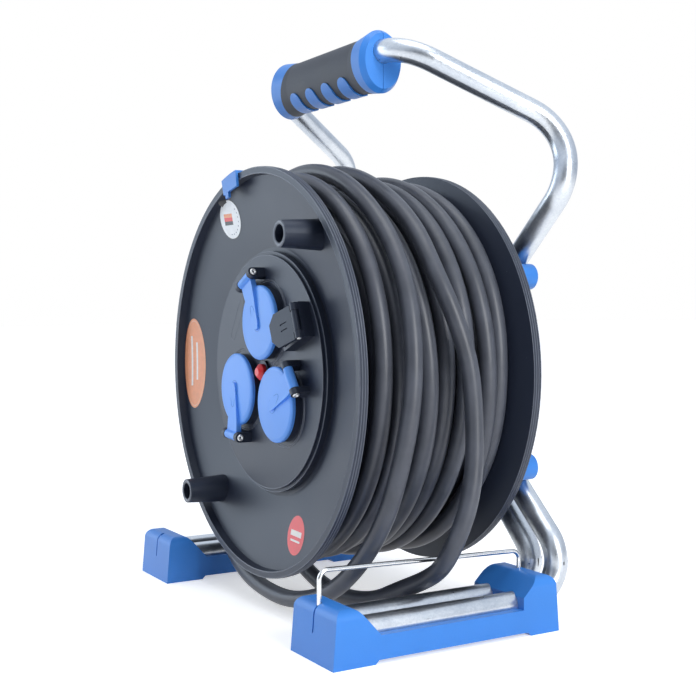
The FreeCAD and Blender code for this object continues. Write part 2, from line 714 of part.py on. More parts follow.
def bracket(room):
    last = "tube_back - parting / 2"
    arms = [along_tube(upper, "tube_r", "arm_len", BRACKET_FRONT, last) for upper in (True, False)]
    arms += ear(True) + ear(False)
    hub = cylinder("bracket_hub_r", "%s - %s" % (last, BRACKET_FRONT), behind(last))
    boss_end = "tube_back + boss_back"
    boss = cylinder("boss_r", "%s - %s" % (boss_end, BRACKET_FRONT), behind(boss_end))
    whole = join(arms + [mirror(arm) for arm in arms] + [hub, boss])
    bore = cylinder("axle_r + screw_slack", "far", behind("far"))
    return cut(whole, [room, bore] + clamp_holes(), "axle_bracket")


def clamp_caps(room):
    first = "tube_back + parting / 2"
    last = "tube_back + cap_back"
    caps = [along_tube(upper, "cap_from", "cap_from + cap_len", first, last) for upper in (True, False)]
    holes = clamp_holes()
    return group([cut(cap, [room] + holes) for cap in caps + [mirror(cap) for cap in caps]], "clamp_caps")


def clamp_screws():
    screws = []
    length = "cap_back + tube_back - %s - parting" % BRACKET_FRONT
    for upper, along, aside in clamp_spots():
        place = tube_frame(upper) + " * " + at(along, "tube_back + cap_back + head_h", aside, "x", "90")
        item = screw("clamp_screw_r", length, place)
        screws += [item, mirror(item)]
    return group(screws, "clamp_screws")


# Heights along the drum's axle, counted toward the socket side
FLOOR_OUT = "(%s - dish_back)" % HALF
FLOOR_IN = "(%s - dish_back - flange_wall)" % HALF
HUB_END = "(-%s + hub_depth)" % FLOOR_IN
WASHER_FRONT = "(%s + seat_gap)" % HUB_END
BUSH_R = "(axle_r + bush_wall)"


def ring(inner, outer, low, height, place=DRUM, label=None):
    owner = body(label)
    top = "%s + (%s)" % (low, height)
    turned(owner, [(inner, low), (outer, low), (outer, top), (inner, top)])
    return placed(owner, place)


def axle():
    owner = body("axle")
    rear = "-(tube_back + boss_back + washer_h + nut_h + axle_tail)"
    low = "%s + washer_h" % WASHER_FRONT
    high = "%s + ring_t" % low
    neck = "axle_r - groove_deep"
    turned(owner, [("0", rear), ("axle_r", rear), ("axle_r", low), (neck, low), (neck, high), ("axle_r", high),
                   ("axle_r", high + " + axle_tail"), ("0", high + " + axle_tail")])
    return placed(owner, DRUM)


def axle_fittings():
    seats = ["-(tube_back + boss_back + washer_h)", "-(%s)" % BRACKET_FRONT, WASHER_FRONT]
    bore = "axle_r + screw_slack / 2"
    group([ring(bore, "washer_r", seat, "washer_h") for seat in seats], "axle_washers")
    ring("axle_r - groove_deep", "axle_r + ring_wall - groove_deep", "%s + washer_h" % WASHER_FRONT, "ring_t",
         label="axle_ring")
    nut = prim("Prism", at(z="-(tube_back + boss_back + washer_h + nut_h)"), Circumradius="nut_r", Height="nut_h")
    placed(cut(nut, [cylinder(bore, "far", at(z="-far"))], "axle_nut"), DRUM)


# Flanges: a lipped rim, a dished cone and a flat floor
def flange_faces(side):
    outer = [
        ("drum_r - rim_lip", "%s%s" % (side, HALF)),
        ("drum_r", "%s%s" % (side, HALF)),
        ("drum_r", "%s(%s - rim_band)" % (side, HALF)),
        ("drum_r - shoulder_in", "%s(%s - shoulder_back - flange_wall)" % (side, HALF)),
        ("dish_r - flange_wall / 3", "%s%s" % (side, FLOOR_IN)),
    ]
    inner = [
        ("dish_r", "%s%s" % (side, FLOOR_OUT)),
        ("drum_r - shoulder_in", "%s(%s - shoulder_back)" % (side, HALF)),
        ("drum_r - rim_lip - flange_wall / 3", "%s(%s - rim_step)" % (side, HALF)),
    ]
    return outer, inner


def screw_circle(owner, low, high):
    spot = at("column_pitch_r * cos(column_angle)", "column_pitch_r * sin(column_angle)", low)
    hole = feature(owner, "SubtractiveCylinder", spot, Radius="drum_screw_r + screw_slack",
                   Height="(%s) - (%s)" % (high, low))
    return polar(owner, [hole], "column_count")


def front_flange():
    owner = body("front_flange")
    outer, inner = flange_faces("")
    turned(owner, outer + [("hollow_r", FLOOR_IN), ("hollow_r", FLOOR_OUT)] + inner)
    low = "%s - shoulder_back - flange_wall" % HALF
    spot = ("stub_pitch_r * cos(stub_angle)", "stub_pitch_r * sin(stub_angle)")
    stub = feature(owner, "AdditiveCone", at(spot[0], spot[1], low), Radius1="stub_base_r", Radius2="stub_tip_r",
                   Height="shoulder_back + flange_wall + stub_reach")
    bore = feature(owner, "SubtractiveCylinder", at(spot[0], spot[1], low), Radius="stub_bore_r", Height="far")
    polar(owner, [stub, bore], "2")
    screw_circle(owner, FLOOR_IN + " - overrun", FLOOR_OUT + " + overrun")
    spot = at("panel_screw_pitch_r", "0", FLOOR_IN + " - overrun")
    hole = feature(owner, "SubtractiveCylinder", spot, Radius="drum_screw_r + screw_slack",
                   Height="flange_wall + 2 * overrun")
    polar(owner, [hole], "panel_screw_count")
    return placed(owner, DRUM)


def rear_flange():
    owner = body("rear_flange")
    outer, inner = flange_faces("-")
    bore = "%s + bush_fit" % BUSH_R
    hub_rear = "-(%s + hub_reach)" % HALF
    hub = [("hub_r", "-" + FLOOR_IN), ("hub_r", HUB_END), (bore, HUB_END), (bore, hub_rear), ("hub_r", hub_rear),
           ("hub_r", "-" + FLOOR_OUT)]
    turned(owner, outer + hub + inner)
    screw_circle(owner, "-%s - overrun" % FLOOR_OUT, "-%s + overrun" % FLOOR_IN)
    return placed(owner, DRUM)


def barrel():
    owner = body("barrel")
    inside = "barrel_r - barrel_wall"
    turned(owner, [(inside, "-" + FLOOR_IN), ("barrel_r", "-" + FLOOR_IN), ("barrel_r", FLOOR_IN), (inside, FLOOR_IN)])
    spot = at("column_pitch_r * cos(column_angle)", "column_pitch_r * sin(column_angle)", "-" + FLOOR_IN)
    column = feature(owner, "AdditiveCylinder", spot, Radius="column_r", Height="2 * " + FLOOR_IN)
    polar(owner, [column], "column_count")
    screw_circle(owner, "-%s - overrun" % FLOOR_IN, FLOOR_IN + " + overrun")
    feature(owner, "SubtractiveCylinder", gland_place("column_pitch_r"), Radius="gland_r + screw_slack", Height="far")
    return placed(owner, DRUM)


def drum_screws():
    screws = []
    for number in range(int(S["column_count"])):
        angle = "(column_angle + %d * 360 / column_count)" % number
        spot = ("column_pitch_r * cos%s" % angle, "column_pitch_r * sin%s" % angle)
        front = at(spot[0], spot[1], FLOOR_OUT + " + head_h", "x", "180")
        rear = at(spot[0], spot[1], "-(%s + head_h)" % FLOOR_OUT)
        screws += [screw("drum_screw_r", "drum_screw_len", place) for place in (front, rear)]
    placed(group(screws, "drum_screws"), DRUM)


# Socket panel: a stepped cap with three collared openings, hinge lugs and a button ring
PANEL_FRONT = "(%s + panel_h)" % FLOOR_OUT
PANEL_BACK = "(%s + panel_h - panel_wall)" % FLOOR_OUT
COLLAR_TOP = "(%s + collar_h)" % PANEL_FRONT
PIN_HIGH = "(%s + hinge_rise)" % PANEL_FRONT
SOCKETS = int(S["socket_count"])
HINGE_ANGLES = ["hinge_angle_one", "hinge_angle_two", "hinge_angle_three"]


def socket_spot(number, angle="0"):
    turn = "(socket_angle + %d * 360 / socket_count)" % number
    return at("socket_pitch_r * cos%s" % turn, "socket_pitch_r * sin%s" % turn, "0", "z", angle)


def lid_place(number):
    return socket_spot(number, HINGE_ANGLES[number])


def cross_cylinder(place, radius, x, z, low, high):
    spot = place + " * " + at(x, low, z, "x", "-90")
    return cylinder(radius, "(%s) - (%s)" % (high, low), spot)


def lug(place, reach, z, half, wall, radius, foot):
    pieces = []
    for low, high in ((half, "(%s + %s)" % (half, wall)), ("-(%s + %s)" % (half, wall), "-" + half)):
        pieces.append(cross_cylinder(place, radius, reach, z, low, high))
        pieces.append(box("%s - %s" % (reach, radius), low, foot, "2 * " + radius, "(%s) - (%s)" % (high, low),
                          "%s - %s" % (z, foot), place))
    return pieces


def socket_panel():
    owner = body()
    foot = "%s + gasket_h" % FLOOR_OUT
    step = "%s - panel_step_h" % PANEL_FRONT
    inside = "panel_r - panel_wall"
    turned(owner, [("0", PANEL_BACK), (inside, PANEL_BACK), (inside, foot), ("panel_r", foot), ("panel_r", step),
                   ("panel_r - panel_step", step), ("panel_r - panel_step", PANEL_FRONT), ("0", PANEL_FRONT)])
    boss = feature(owner, "AdditiveCylinder", at("panel_screw_pitch_r", "0", FLOOR_OUT), Radius="panel_boss_r",
                   Height="panel_h - panel_wall / 2")
    hole = feature(owner, "SubtractiveCylinder", at("panel_screw_pitch_r", "0", FLOOR_OUT + " - overrun"),
                   Radius="drum_screw_r + screw_slack / 2", Height="panel_screw_len")
    polar(owner, [boss, hole], "panel_screw_count")
    turn = "(socket_angle)"
    spot = at("socket_pitch_r * cos%s" % turn, "socket_pitch_r * sin%s" % turn, PANEL_BACK)
    collar = feature(owner, "AdditiveCylinder", spot, Radius="socket_r + collar_wall", Height="panel_wall + collar_h")
    opening = feature(owner, "SubtractiveCylinder", spot, Radius="socket_r", Height="far")
    polar(owner, [collar, opening], "socket_count")
    feature(owner, "AdditiveCylinder", at(z=PANEL_BACK), Radius="button_r + button_fit + bezel_wall",
            Height="panel_wall + bezel_h")
    feature(owner, "SubtractiveCylinder", at(z=PANEL_BACK), Radius="button_r + button_fit", Height="far")
    lugs = []
    holes = []
    for number in range(SOCKETS):
        place = lid_place(number)
        lugs += lug(place, "hinge_reach", PIN_HIGH, "(knuckle_half + lug_gap)", "lug_wall", "(knuckle_r + lug_gap)",
                    "(%s - panel_wall / 2)" % PANEL_FRONT)
        holes.append(cross_cylinder(place, "pin_r + pin_fit / 2", "hinge_reach", PIN_HIGH, "-socket_r", "socket_r"))
    return placed(cut(join([owner] + lugs), holes, "socket_panel"), DRUM)


def panel_fittings():
    ring("panel_r - gasket_wall", "panel_r - seat_gap", FLOOR_OUT, "gasket_h", label="panel_gasket")
    screws = []
    for number in range(int(S["panel_screw_count"])):
        angle = "(%d * 360 / panel_screw_count)" % number
        place = at("panel_screw_pitch_r * cos%s" % angle, "panel_screw_pitch_r * sin%s" % angle,
                   "%s - head_h" % FLOOR_IN)
        screws.append(screw("drum_screw_r", "panel_screw_len", place))
    placed(group(screws, "panel_screws"), DRUM)


# Outlets: a round insert with a recess, two contact sleeves and two earth clips each
INSERT_TOP = "(%s - lid_gap)" % COLLAR_TOP
RECESS_FLOOR = "(%s - recess_depth)" % INSERT_TOP
INSERT_BACK = "(%s - insert_floor_wall)" % RECESS_FLOOR


def socket_insert(number):
    owner = body("socket_insert_%d" % (number + 1))
    wall = "socket_r - seat_gap"
    rim = "socket_r + seal_wall"
    turned(owner, [("0", INSERT_BACK), (wall, INSERT_BACK), (wall, "%s - panel_wall" % PANEL_BACK),
                   (rim, "%s - panel_wall" % PANEL_BACK), (rim, PANEL_BACK), (wall, PANEL_BACK), (wall, INSERT_TOP),
                   ("recess_r", INSERT_TOP), ("recess_r", RECESS_FLOOR), ("0", RECESS_FLOOR)])
    hole = feature(owner, "SubtractiveCylinder", at("pin_pitch / 2", "0", INSERT_BACK + " - overrun"),
                   Radius="contact_bore_r", Height="insert_floor_wall + 2 * overrun")
    polar(owner, [hole], "2")
    return placed(owner, DRUM + " * " + socket_spot(number, HINGE_ANGLES[number]))


def contacts():
    sleeves = []
    clips = []
    for number in range(SOCKETS):
        place = lid_place(number)
        for side in ("", "-"):
            low = "%s - contact_len" % INSERT_BACK
            sleeve = ring("contact_bore_r", "contact_r", low, "contact_len",
                          place + " * " + at("%spin_pitch / 2" % side))
            sleeves.append(sleeve)
            edge = "recess_r - earth_t - seat_gap" if not side else "-(recess_r - seat_gap)"
            clips.append(box("-earth_w / 2", edge, RECESS_FLOOR, "earth_w", "earth_t", "recess_depth - overrun", place))
    placed(group(sleeves, "contact_sleeves"), DRUM)
    placed(group(clips, "earth_clips"), DRUM)


def button_and_cutout():
    owner = body("reset_button")
    collar_low = "(%s - button_collar_h)" % PANEL_BACK
    top = "%s + button_rise" % PANEL_FRONT
    dome = "%s - 2 * button_edge" % top
    turned(owner, [("0", collar_low), ("button_collar_r", collar_low), ("button_collar_r", PANEL_BACK),
                   ("button_r", PANEL_BACK), ("button_r", dome), ("button_r - button_edge", dome + " + button_edge"),
                   ("button_r / 2", top), ("0", top)])
    placed(owner, DRUM)
    box_top = "(%s - button_stroke - seat_gap)" % collar_low
    case = box("-cutout_w / 2", "-cutout_w / 2", "%s - cutout_len" % box_top, "cutout_w", "cutout_w", "cutout_len")
    neck = cut(cylinder("cutout_neck_r", "%s - %s + overrun" % (PANEL_BACK, box_top), at(z=box_top + " - overrun")),
               [cylinder("button_collar_r + seat_gap", "far", at(z=box_top))])
    placed(join([case, neck], label="thermal_cutout"), DRUM)


# Lids: a domed disc with a raised arm that runs into the hinge knuckle
LID_LOW = "(%s + lid_gap)" % COLLAR_TOP
SEAL_LOW = "(%s + seat_gap)" % COLLAR_TOP
SEAL_IN = "(socket_r + (collar_wall - seal_wall) / 2)"
SEAL_OUT = "(socket_r + (collar_wall + seal_wall) / 2)"


def lid(number):
    owner = body()
    groove = "%s + seal_h" % SEAL_LOW
    edge = "%s + lid_edge" % LID_LOW
    turned(owner, [("0", LID_LOW), (SEAL_IN, LID_LOW), (SEAL_IN, groove), (SEAL_OUT, groove), (SEAL_OUT, LID_LOW),
                   ("lid_r", LID_LOW), ("lid_r", "%s - lid_edge / 4" % edge), ("lid_r - lid_edge / 4", edge),
                   ("lid_r - lid_edge", "%s + lid_dome / 3" % edge), ("0", "%s + lid_dome" % edge)])
    upper = [("hinge_reach", "knuckle_half"), ("lid_r - collar_wall", "knuckle_half * arm_foot_share"),
             ("lid_r * arm_neck_at_share", "knuckle_half * arm_neck_share"), ("-arm_tip_half / 2", "arm_tip_half"),
             ("-arm_tip_half - arm_tip_half / 2", "arm_tip_half / 2")]
    lower = [(x, "-%s" % y) for x, y in reversed(upper)]
    arm = upper + lower
    pad(owner, "XY_Plane", arm, "lid_edge / 2 + lid_dome + arm_rise", "%s + lid_edge / 2" % LID_LOW)
    knuckle = cross_cylinder(at(), "knuckle_r", "hinge_reach", PIN_HIGH, "-knuckle_half", "knuckle_half")
    bore = cross_cylinder(at(), "pin_r + pin_fit", "hinge_reach", PIN_HIGH, "-socket_r", "socket_r")
    room = "spring_half + lug_gap"
    nest = cross_cylinder(at(), "pin_r + 2 * spring_wall", "hinge_reach", PIN_HIGH, "-(%s)" % room, room)
    label = "lid_%d" % (number + 1)
    placed(cut(join([owner, knuckle]), [bore, nest], label), DRUM + " * " + lid_place(number))
    ring(SEAL_IN, SEAL_OUT, SEAL_LOW, "seal_h", DRUM + " * " + socket_spot(number), "lid_seal_%d" % (number + 1))


def hinge_hardware():
    pins = []
    springs = []
    reach = "knuckle_half + lug_gap + lug_wall + lug_gap"
    for number in range(SOCKETS):
        place = lid_place(number)
        pins.append(cross_cylinder(place, "pin_r", "hinge_reach", PIN_HIGH, "-(%s)" % reach, reach))
        wire = cross_cylinder(place, "pin_r + spring_wall + pin_fit", "hinge_reach", PIN_HIGH, "-spring_half",
                              "spring_half")
        springs.append(cut(wire, [cross_cylinder(place, "pin_r + pin_fit", "hinge_reach", PIN_HIGH, "-socket_r",
                                                 "socket_r")]))
    placed(group(pins, "hinge_pins"), DRUM)
    placed(group(springs, "lid_springs"), DRUM)


# Flap box beside the first outlet, its flap standing ajar
FLAP = DRUM + " * " + at("flap_x", "flap_y", "%s + flap_rise" % PANEL_FRONT, "z", "flap_angle")
FLAP_LOW = "(-flap_t + pin_r / 2)"


def flap_box():
    case_low = "-flap_rise"
    case_top = "(%s - seat_gap)" % FLAP_LOW
    wide = "(flap_w + 2 * seat_gap)"
    deep = "(%s - (%s))" % (case_top, case_low)
    case = box("-flap_len", "-%s / 2" % wide, case_low, "flap_len + knuckle_r", wide, deep)
    room = box("-flap_len + flap_box_wall", "-%s / 2 + flap_box_wall" % wide, case_low + " + flap_box_wall",
               "flap_len - 2 * flap_box_wall - knuckle_r", wide + " - 2 * flap_box_wall", "far")
    half = "(flap_knuckle_half + lug_gap)"
    lugs = lug(at(), "0", "0", half, "(%s / 2 - %s)" % (wide, half), "(flap_t + seat_gap / 2)", case_low)
    bore = cross_cylinder(at(), "pin_r + pin_fit / 2", "0", "0", "-socket_r", "socket_r")
    trough = cross_cylinder(at(), "flap_t + seat_gap", "0", "0", "-" + half, half)
    placed(cut(join([case] + lugs), [room, bore, trough], "flap_housing"), FLAP)
    reach = "%s / 2 + lug_gap" % wide
    cross_cylinder(FLAP, "pin_r", "0", "0", "-(%s)" % reach, reach).Label = "flap_pin"


def flap():
    owner = body()
    neck = "-(flap_t + flap_t / 2)"
    chamfer = "(flap_w / 4)"
    plate = [("0", "flap_knuckle_half"), (neck, "flap_knuckle_half"), (neck, "flap_w / 2"),
             ("-flap_len + " + chamfer, "flap_w / 2"), ("-flap_len", "flap_w / 2 - " + chamfer),
             ("-flap_len", "-flap_w / 2 + " + chamfer), ("-flap_len + " + chamfer, "-flap_w / 2"),
             (neck, "-flap_w / 2"), (neck, "-flap_knuckle_half"), ("0", "-flap_knuckle_half")]
    pad(owner, "XY_Plane", plate, "flap_t", FLAP_LOW)
    knuckle = cross_cylinder(at(), "flap_t", "0", "0", "-flap_knuckle_half", "flap_knuckle_half")
    bore = cross_cylinder(at(), "pin_r + pin_fit", "0", "0", "-socket_r", "socket_r")
    grooves = []
    for side in (-1, 1):
        grooves.append(box("-flap_groove_from", "%d * flap_groove_aside - flap_groove_w / 2" % side,
                           "%s + flap_t - flap_groove_deep" % FLAP_LOW, "flap_groove_len", "flap_groove_w", "flap_t"))
    placed(cut(join([owner, knuckle]), [bore] + grooves, "flap"), FLAP + " * " + at(axis="y", angle="flap_ajar"))


def edge_clip():
    owner = body("edge_clip")
    gap = "seat_gap"
    out = "drum_r + %s" % gap
    front = "(%s + %s)" % (HALF, gap)
    hook = "(%s - rim_band - 2 * %s)" % (HALF, gap)
    corners = [(out, front), ("drum_r - clip_depth", front), ("drum_r - clip_depth", front + " + clip_wall"),
               (out + " + clip_wall", front + " + clip_wall"), (out + " + clip_wall", hook + " - clip_wall"),
               ("drum_r - rim_lip / 2", hook + " - clip_wall"), ("drum_r - rim_lip / 2", hook), (out, hook)]
    item = owner.newObject("PartDesign::Revolution", "turned")
    sketch = outline(owner, "XZ_Plane", corners)
    item.Profile = (sketch, [])
    item.ReferenceAxis = (sketch, ["V_Axis"])
    item.setExpression("Angle", bound("clip_span"))
    item.Midplane = True
    inner = "drum_r - clip_depth"
    near = "clip_tongue_aside - clip_tongue / 2"
    away = "clip_tongue_aside + clip_tongue / 2"
    tongue = [(inner + " + overrun", near), (inner + " + overrun", away), (inner + " - clip_tongue_len", away),
              (inner + " - clip_tongue_len", near)]
    pad(owner, "XY_Plane", tongue, "clip_wall", front)
    return placed(owner, DRUM + " * " + at(axis="z", angle="clip_angle"))


# Cable inlet: a gland in the barrel, the cable's bend to a terminal block and three wires
def gland_place(depth):
    across = at(axis="y", angle="90")
    return at(z="-gland_back", axis="z", angle="gland_angle") + " * " + across + " * " + at(z=depth)


def cable_inlet():
    end = "(barrel_r - 2 * seat_gap)"
    nut_seat = "sqrt((barrel_r - barrel_wall)^2 - gland_nut_r^2) - gland_nut_h"
    stem = cylinder("gland_r", "gland_len", gland_place(end + " - gland_len"))
    nut = prim("Prism", gland_place(nut_seat), Circumradius="gland_nut_r", Height="gland_nut_h")
    bore = cylinder("cable_r + screw_slack", "far", gland_place("0"))
    placed(cut(join([stem, nut]), [bore], "cable_gland"), DRUM)
    angle = math.radians(S["gland_angle"])
    out = Vector(math.cos(angle), math.sin(angle), 0)
    floor = -(S["drum_w"] / 2 - S["dish_back"] - S["flange_wall"])
    level = Vector(0, 0, -S["gland_back"])
    top = floor + S["block_h"]
    points = [out * (S["barrel_r"] - 2 * S["seat_gap"]) + level, out * S["block_x"] + level,
              out * S["block_x"] + Vector(0, 0, top)]
    placed(shaped(bar(bent_path(points, [S["lead_bend_r"]]), S["cable_r"]), "cable_lead"), DRUM)
    block_place = at(axis="z", angle="gland_angle") + " * " + at("block_x - block_w / 2", "-block_len / 2",
                                                                  "-" + FLOOR_IN)
    block = prim("Box", DRUM + " * " + block_place, Length="block_w", Width="block_len", Height="block_h")
    block.Label = "terminal_block"
    side = Vector(-out.y, out.x, 0)
    wires = []
    spread = S["block_len"] / 2
    shares = [S["wire_outer_share"], -S["wire_outer_share"], -S["wire_inner_share"]]
    for number, share in enumerate(shares):
        turn = math.radians(S["socket_angle"] + 360 * number / SOCKETS)
        socket = Vector(math.cos(turn), math.sin(turn), 0) * S["socket_pitch_r"]
        crossing = Vector(0, 0, S["wire_rise"] * (number + 1))
        start = out * S["block_x"] + side * (spread * share)
        high = S["drum_w"] / 2 - S["dish_back"] + S["panel_h"] + S["collar_h"] - S["lid_gap"]
        high -= S["recess_depth"] + S["insert_floor_wall"]
        points = [start + Vector(0, 0, top), start + crossing, socket + crossing, socket + Vector(0, 0, high)]
        wires.append(bar(bent_path(points, [S["wire_bend_r"]] * 2), S["wire_r"]))
    placed(shaped(Part.makeCompound(wires), "internal_wires"), DRUM)


# Cable coil: plain inner layers under one unbroken outer layer of turns
def cable_core():
    owner = body("cable_core")
    top = "(wind_r - cable_r - core_gap)"
    low = "(barrel_r + core_gap)"
    cone = "(dish_back - shoulder_back) / (drum_r - shoulder_in - dish_r)"
    front_face = "(%s - core_gap)" % FLOOR_IN
    front_high = "(%s - wind_front + cable_r)" % HALF
    front_r = "(dish_r - flange_wall / 3 + (%s - %s) / (%s))" % (front_high, front_face, cone)
    rear_high = "(-(%s - wind_rear) - cable_r)" % HALF
    rear_r = "(dish_r - flange_wall / 3 + (-%s - %s) / (%s))" % (rear_high, front_face, cone)
    turned(owner, [(low, "-" + front_face), ("dish_r - flange_wall / 3", "-" + front_face), (rear_r, rear_high),
                   (top, rear_high), (top, front_high), (front_r, front_high), ("dish_r - flange_wall / 3", front_face),
                   (low, front_face)])
    return placed(owner, DRUM)


def arc_from(start, heading, end):
    chord = end - start
    length = chord.Length
    chord.normalize()
    lean = heading.dot(chord)
    aside = heading - chord * lean
    if aside.Length < S["straight_below"]:
        return Part.LineSegment(start, end).toShape()
    aside.normalize()
    half = math.acos(max(-1.0, min(1.0, lean))) / 2
    middle = (start + end) * 0.5 + aside * (length / 2 * math.tan(half))
    return Part.Arc(start, middle, end).toShape()


def two_arcs(start, heading, end, arrival):
    gap = end - start
    total = heading + arrival
    bend = 2 * (1 - heading.dot(arrival))
    along = gap.dot(total)
    reach = (-along + math.sqrt(along * along + bend * gap.dot(gap))) / bend
    middle = (start + end + (heading - arrival) * reach) * 0.5
    back = two_arcs_tangent(start, heading, middle)
    return [arc_from(start, heading, middle), arc_from(middle, back, end)]


def two_arcs_tangent(start, heading, end):
    chord = (end - start).normalize()
    return (chord * (2 * heading.dot(chord)) - heading).normalize()


def winding_path():
    steps = 4
    total = int(S["wind_turns"] * steps)
    dive_steps = steps // 2
    front = S["drum_w"] / 2 - S["wind_front"]
    rise = S["wind_pitch"] / steps
    knots = []
    for step in range(total + 1):
        share = min(1.0, step / dive_steps)
        smooth = share * share * (3 - 2 * share)
        angle = math.pi + 2 * math.pi * (step - total) / steps
        knots.append((S["wind_r"] - S["wind_dive"] * (1 - smooth), angle, front - rise * (total - step)))
    points = [Vector(r * math.cos(a), r * math.sin(a), z) for r, a, z in knots]
    headings = []
    for r, angle, z in knots:
        round_step = Vector(-math.sin(angle), math.cos(angle), 0) * (2 * math.pi * r / steps)
        headings.append((round_step + Vector(0, 0, rise)).normalize())
    edges = []
    for first in range(total):
        edges += two_arcs(points[first], headings[first], points[first + 1], headings[first + 1])
    last = points[-1] + headings[-1] * (2 * S["cable_r"])
    edges.append(Part.LineSegment(points[-1], last).toShape())
    return Part.Wire(edges), last, headings[-1]


def least_gap(path, radius, apart):
    spacing = radius
    number = int(path.Length / spacing)
    spots = path.discretize(Number=number + 1)
    skip = int(apart / spacing)
    least = path.Length
    for first in range(len(spots)):
        for second in range(first + skip, len(spots)):
            least = min(least, spots[first].distanceToPoint(spots[second]))
    return least - 2 * radius


def cable_turns():
    path, end, heading = winding_path()
    item = placed(shaped(bar(path, S["cable_r"]), "cable_turns"), DRUM)
    gap = least_gap(path, S["cable_r"], S["wind_r"])
    print("winding: %.1f mm long, least gap to itself %.2f mm" % (path.Length, gap))
    return path.Length


# Free end of the cable, point by point from the winding to the plug: two loose turns
# that sag to the floor under the drum and pass over the right foot inside the wire bail
TAIL_POINTS = [
    (-131, -50.182, 157.49), (-131, -50.478, 138), (-127.5, -51.5, 104), (-115, -51.5, 66.7), (-88, -52, 35.2),
    (-52, -53, 13.5), (-8.4, -54, 7.7), (33.5, -54.5, 10.4), (73, -54.5, 24), (106.3, -54, 48.7),
    (132.5, -47.5, 81.2), (146.1, -41, 116.9), (151, -34.5, 154.9), (148.3, -28.5, 194.1),
    (134, -25.5, 230.8), (111.4, -23, 262.8), (82.8, -19.5, 288.9), (48.3, -17.5, 306.5),
    (10.9, -17.5, 314.4), (-26.6, -18.5, 313.2), (-62.3, -19.5, 302.7), (-93.6, -19.5, 283.1),
    (-118.4, -19.5, 255.8), (-135.2, -19.5, 222.7), (-144.3, -19.5, 186.2), (-143.7, -19.5, 147.8),
    (-132.5, -19, 109.9), (-104.5, -16.5, 68.6), (-72.7, -15.5, 42.3), (-35.8, -15.5, 21.4),
    (3.7, -17, 10.8), (40.8, -18.5, 9.5), (73.7, -15.5, 14.5), (96.5, -10.5, 25.9), (117.4, -3.5, 35.9),
    (137, -3.5, 47.3), (149.7, -2.5, 67.9), (153.5, 4.5, 92.2), (152.5, 11.5, 118.6), (151.1, 13.5, 148),
    (150.2, 11.5, 180.2), (145.4, 10, 210.7), (131.4, 8, 240.5), (109.5, 6.5, 266.7), (82.3, 5.5, 289.3),
    (48, 5, 306.6), (10.8, 5.5, 314.6), (-26.7, 7.5, 314), (-62.4, 11.5, 303.6), (-93.7, 15.5, 284.1),
    (-118.5, 19.5, 256.8), (-135.8, 22.5, 222.8), (-145.3, 23.5, 187.1), (-145, 23.5, 159.2),
    (-145, 23.5, 137.4),
]


def cable_tail():
    points = [Vector(*place) for place in TAIL_POINTS]
    runs = [(after - before).Length for before, after in zip(points, points[1:])]
    radii = []
    for number in range(1, len(points) - 1):
        half = turn_angle(points[number - 1], points[number], points[number + 1]) / 2
        radii.append(S["tail_arc_share"] * min(runs[number - 1], runs[number]) / math.tan(half))
    path = bent_path(points, radii)
    item = shaped(bar(path, S["cable_r"]), "cable_tail")
    volume = math.pi * S["cable_r"] ** 2 * path.Length
    share = item.Shape.Volume / volume
    print("tail: %.0f mm long, volume %.4f of its section times its length" % (path.Length, share))
    print("tail radii: " + " ".join("%.0f" % radius for radius in radii))
    print("tail runs: " + " ".join("%.0f" % run for run in runs))
    print("tail least gap to itself %.2f mm" % least_gap(path, S["cable_r"], S["wind_r"]))
    return item


def plug():
    owner = body("plug_body")
    throat = "(plug_neck_len)"
    flare = "(%s + plug_flare_len)" % throat
    face = "(%s + plug_head_len)" % flare
    turned(owner, [("0", "0"), ("plug_neck_r", "0"), ("plug_throat_r", throat), ("plug_waist_r", throat),
                   ("plug_r", flare), ("plug_r", face + " - overrun"), ("plug_r - overrun / 2", face), ("0", face)])
    notches = []
    for side in ("plug_r - plug_notch_deep", "-plug_r - overrun"):
        notches.append(feature(owner, "SubtractiveBox", at(side, "-plug_notch_w / 2", flare), Width="plug_notch_w",
                               Length="plug_notch_deep + overrun", Height="plug_head_len + overrun"))
    hang = at("-plug_x", "plug_y", "plug_top", "x", "180")
    placed(owner, hang)
    pins = [cylinder("plug_pin_r", "plug_pin_len", hang + " * " + at("0", "%spin_pitch / 2" % side, face))
            for side in ("", "-")]
    group(pins, "plug_pins")


# Grip: two moulded halves round the tube with raised finger pads, and a rubber sleeve
GRIP_MIDDLE = "grip_z - grip_drop"


def grip_solid(sections):
    item = named("Part::Loft")
    rings = []
    for x, high, deep in sections:
        rings.append(prim("Ellipse", at(x, "grip_y", GRIP_MIDDLE, "y", "-90"), MajorRadius=high, MinorRadius=deep))
    item.Sections = rings
    item.Solid = True
    item.Ruled = True
    return item


def finger_tools(slack):
    tools = []
    radius = "finger_half - (%s)" % slack
    rear = "grip_y + finger_rear - (%s)" % slack
    for number in range(4):
        middle = "(%.1f * finger_pitch)" % (number - 1.5)
        level = "(grip_z - finger_top - finger_half)"
        tools.append(cylinder(radius, "far", at(middle, rear, level, "x", "90")))
        tools.append(box("%s - (%s)" % (middle, radius), rear + " - far", level + " - far", "2 * (%s)" % radius,
                         "far", "far"))
    return join(tools)


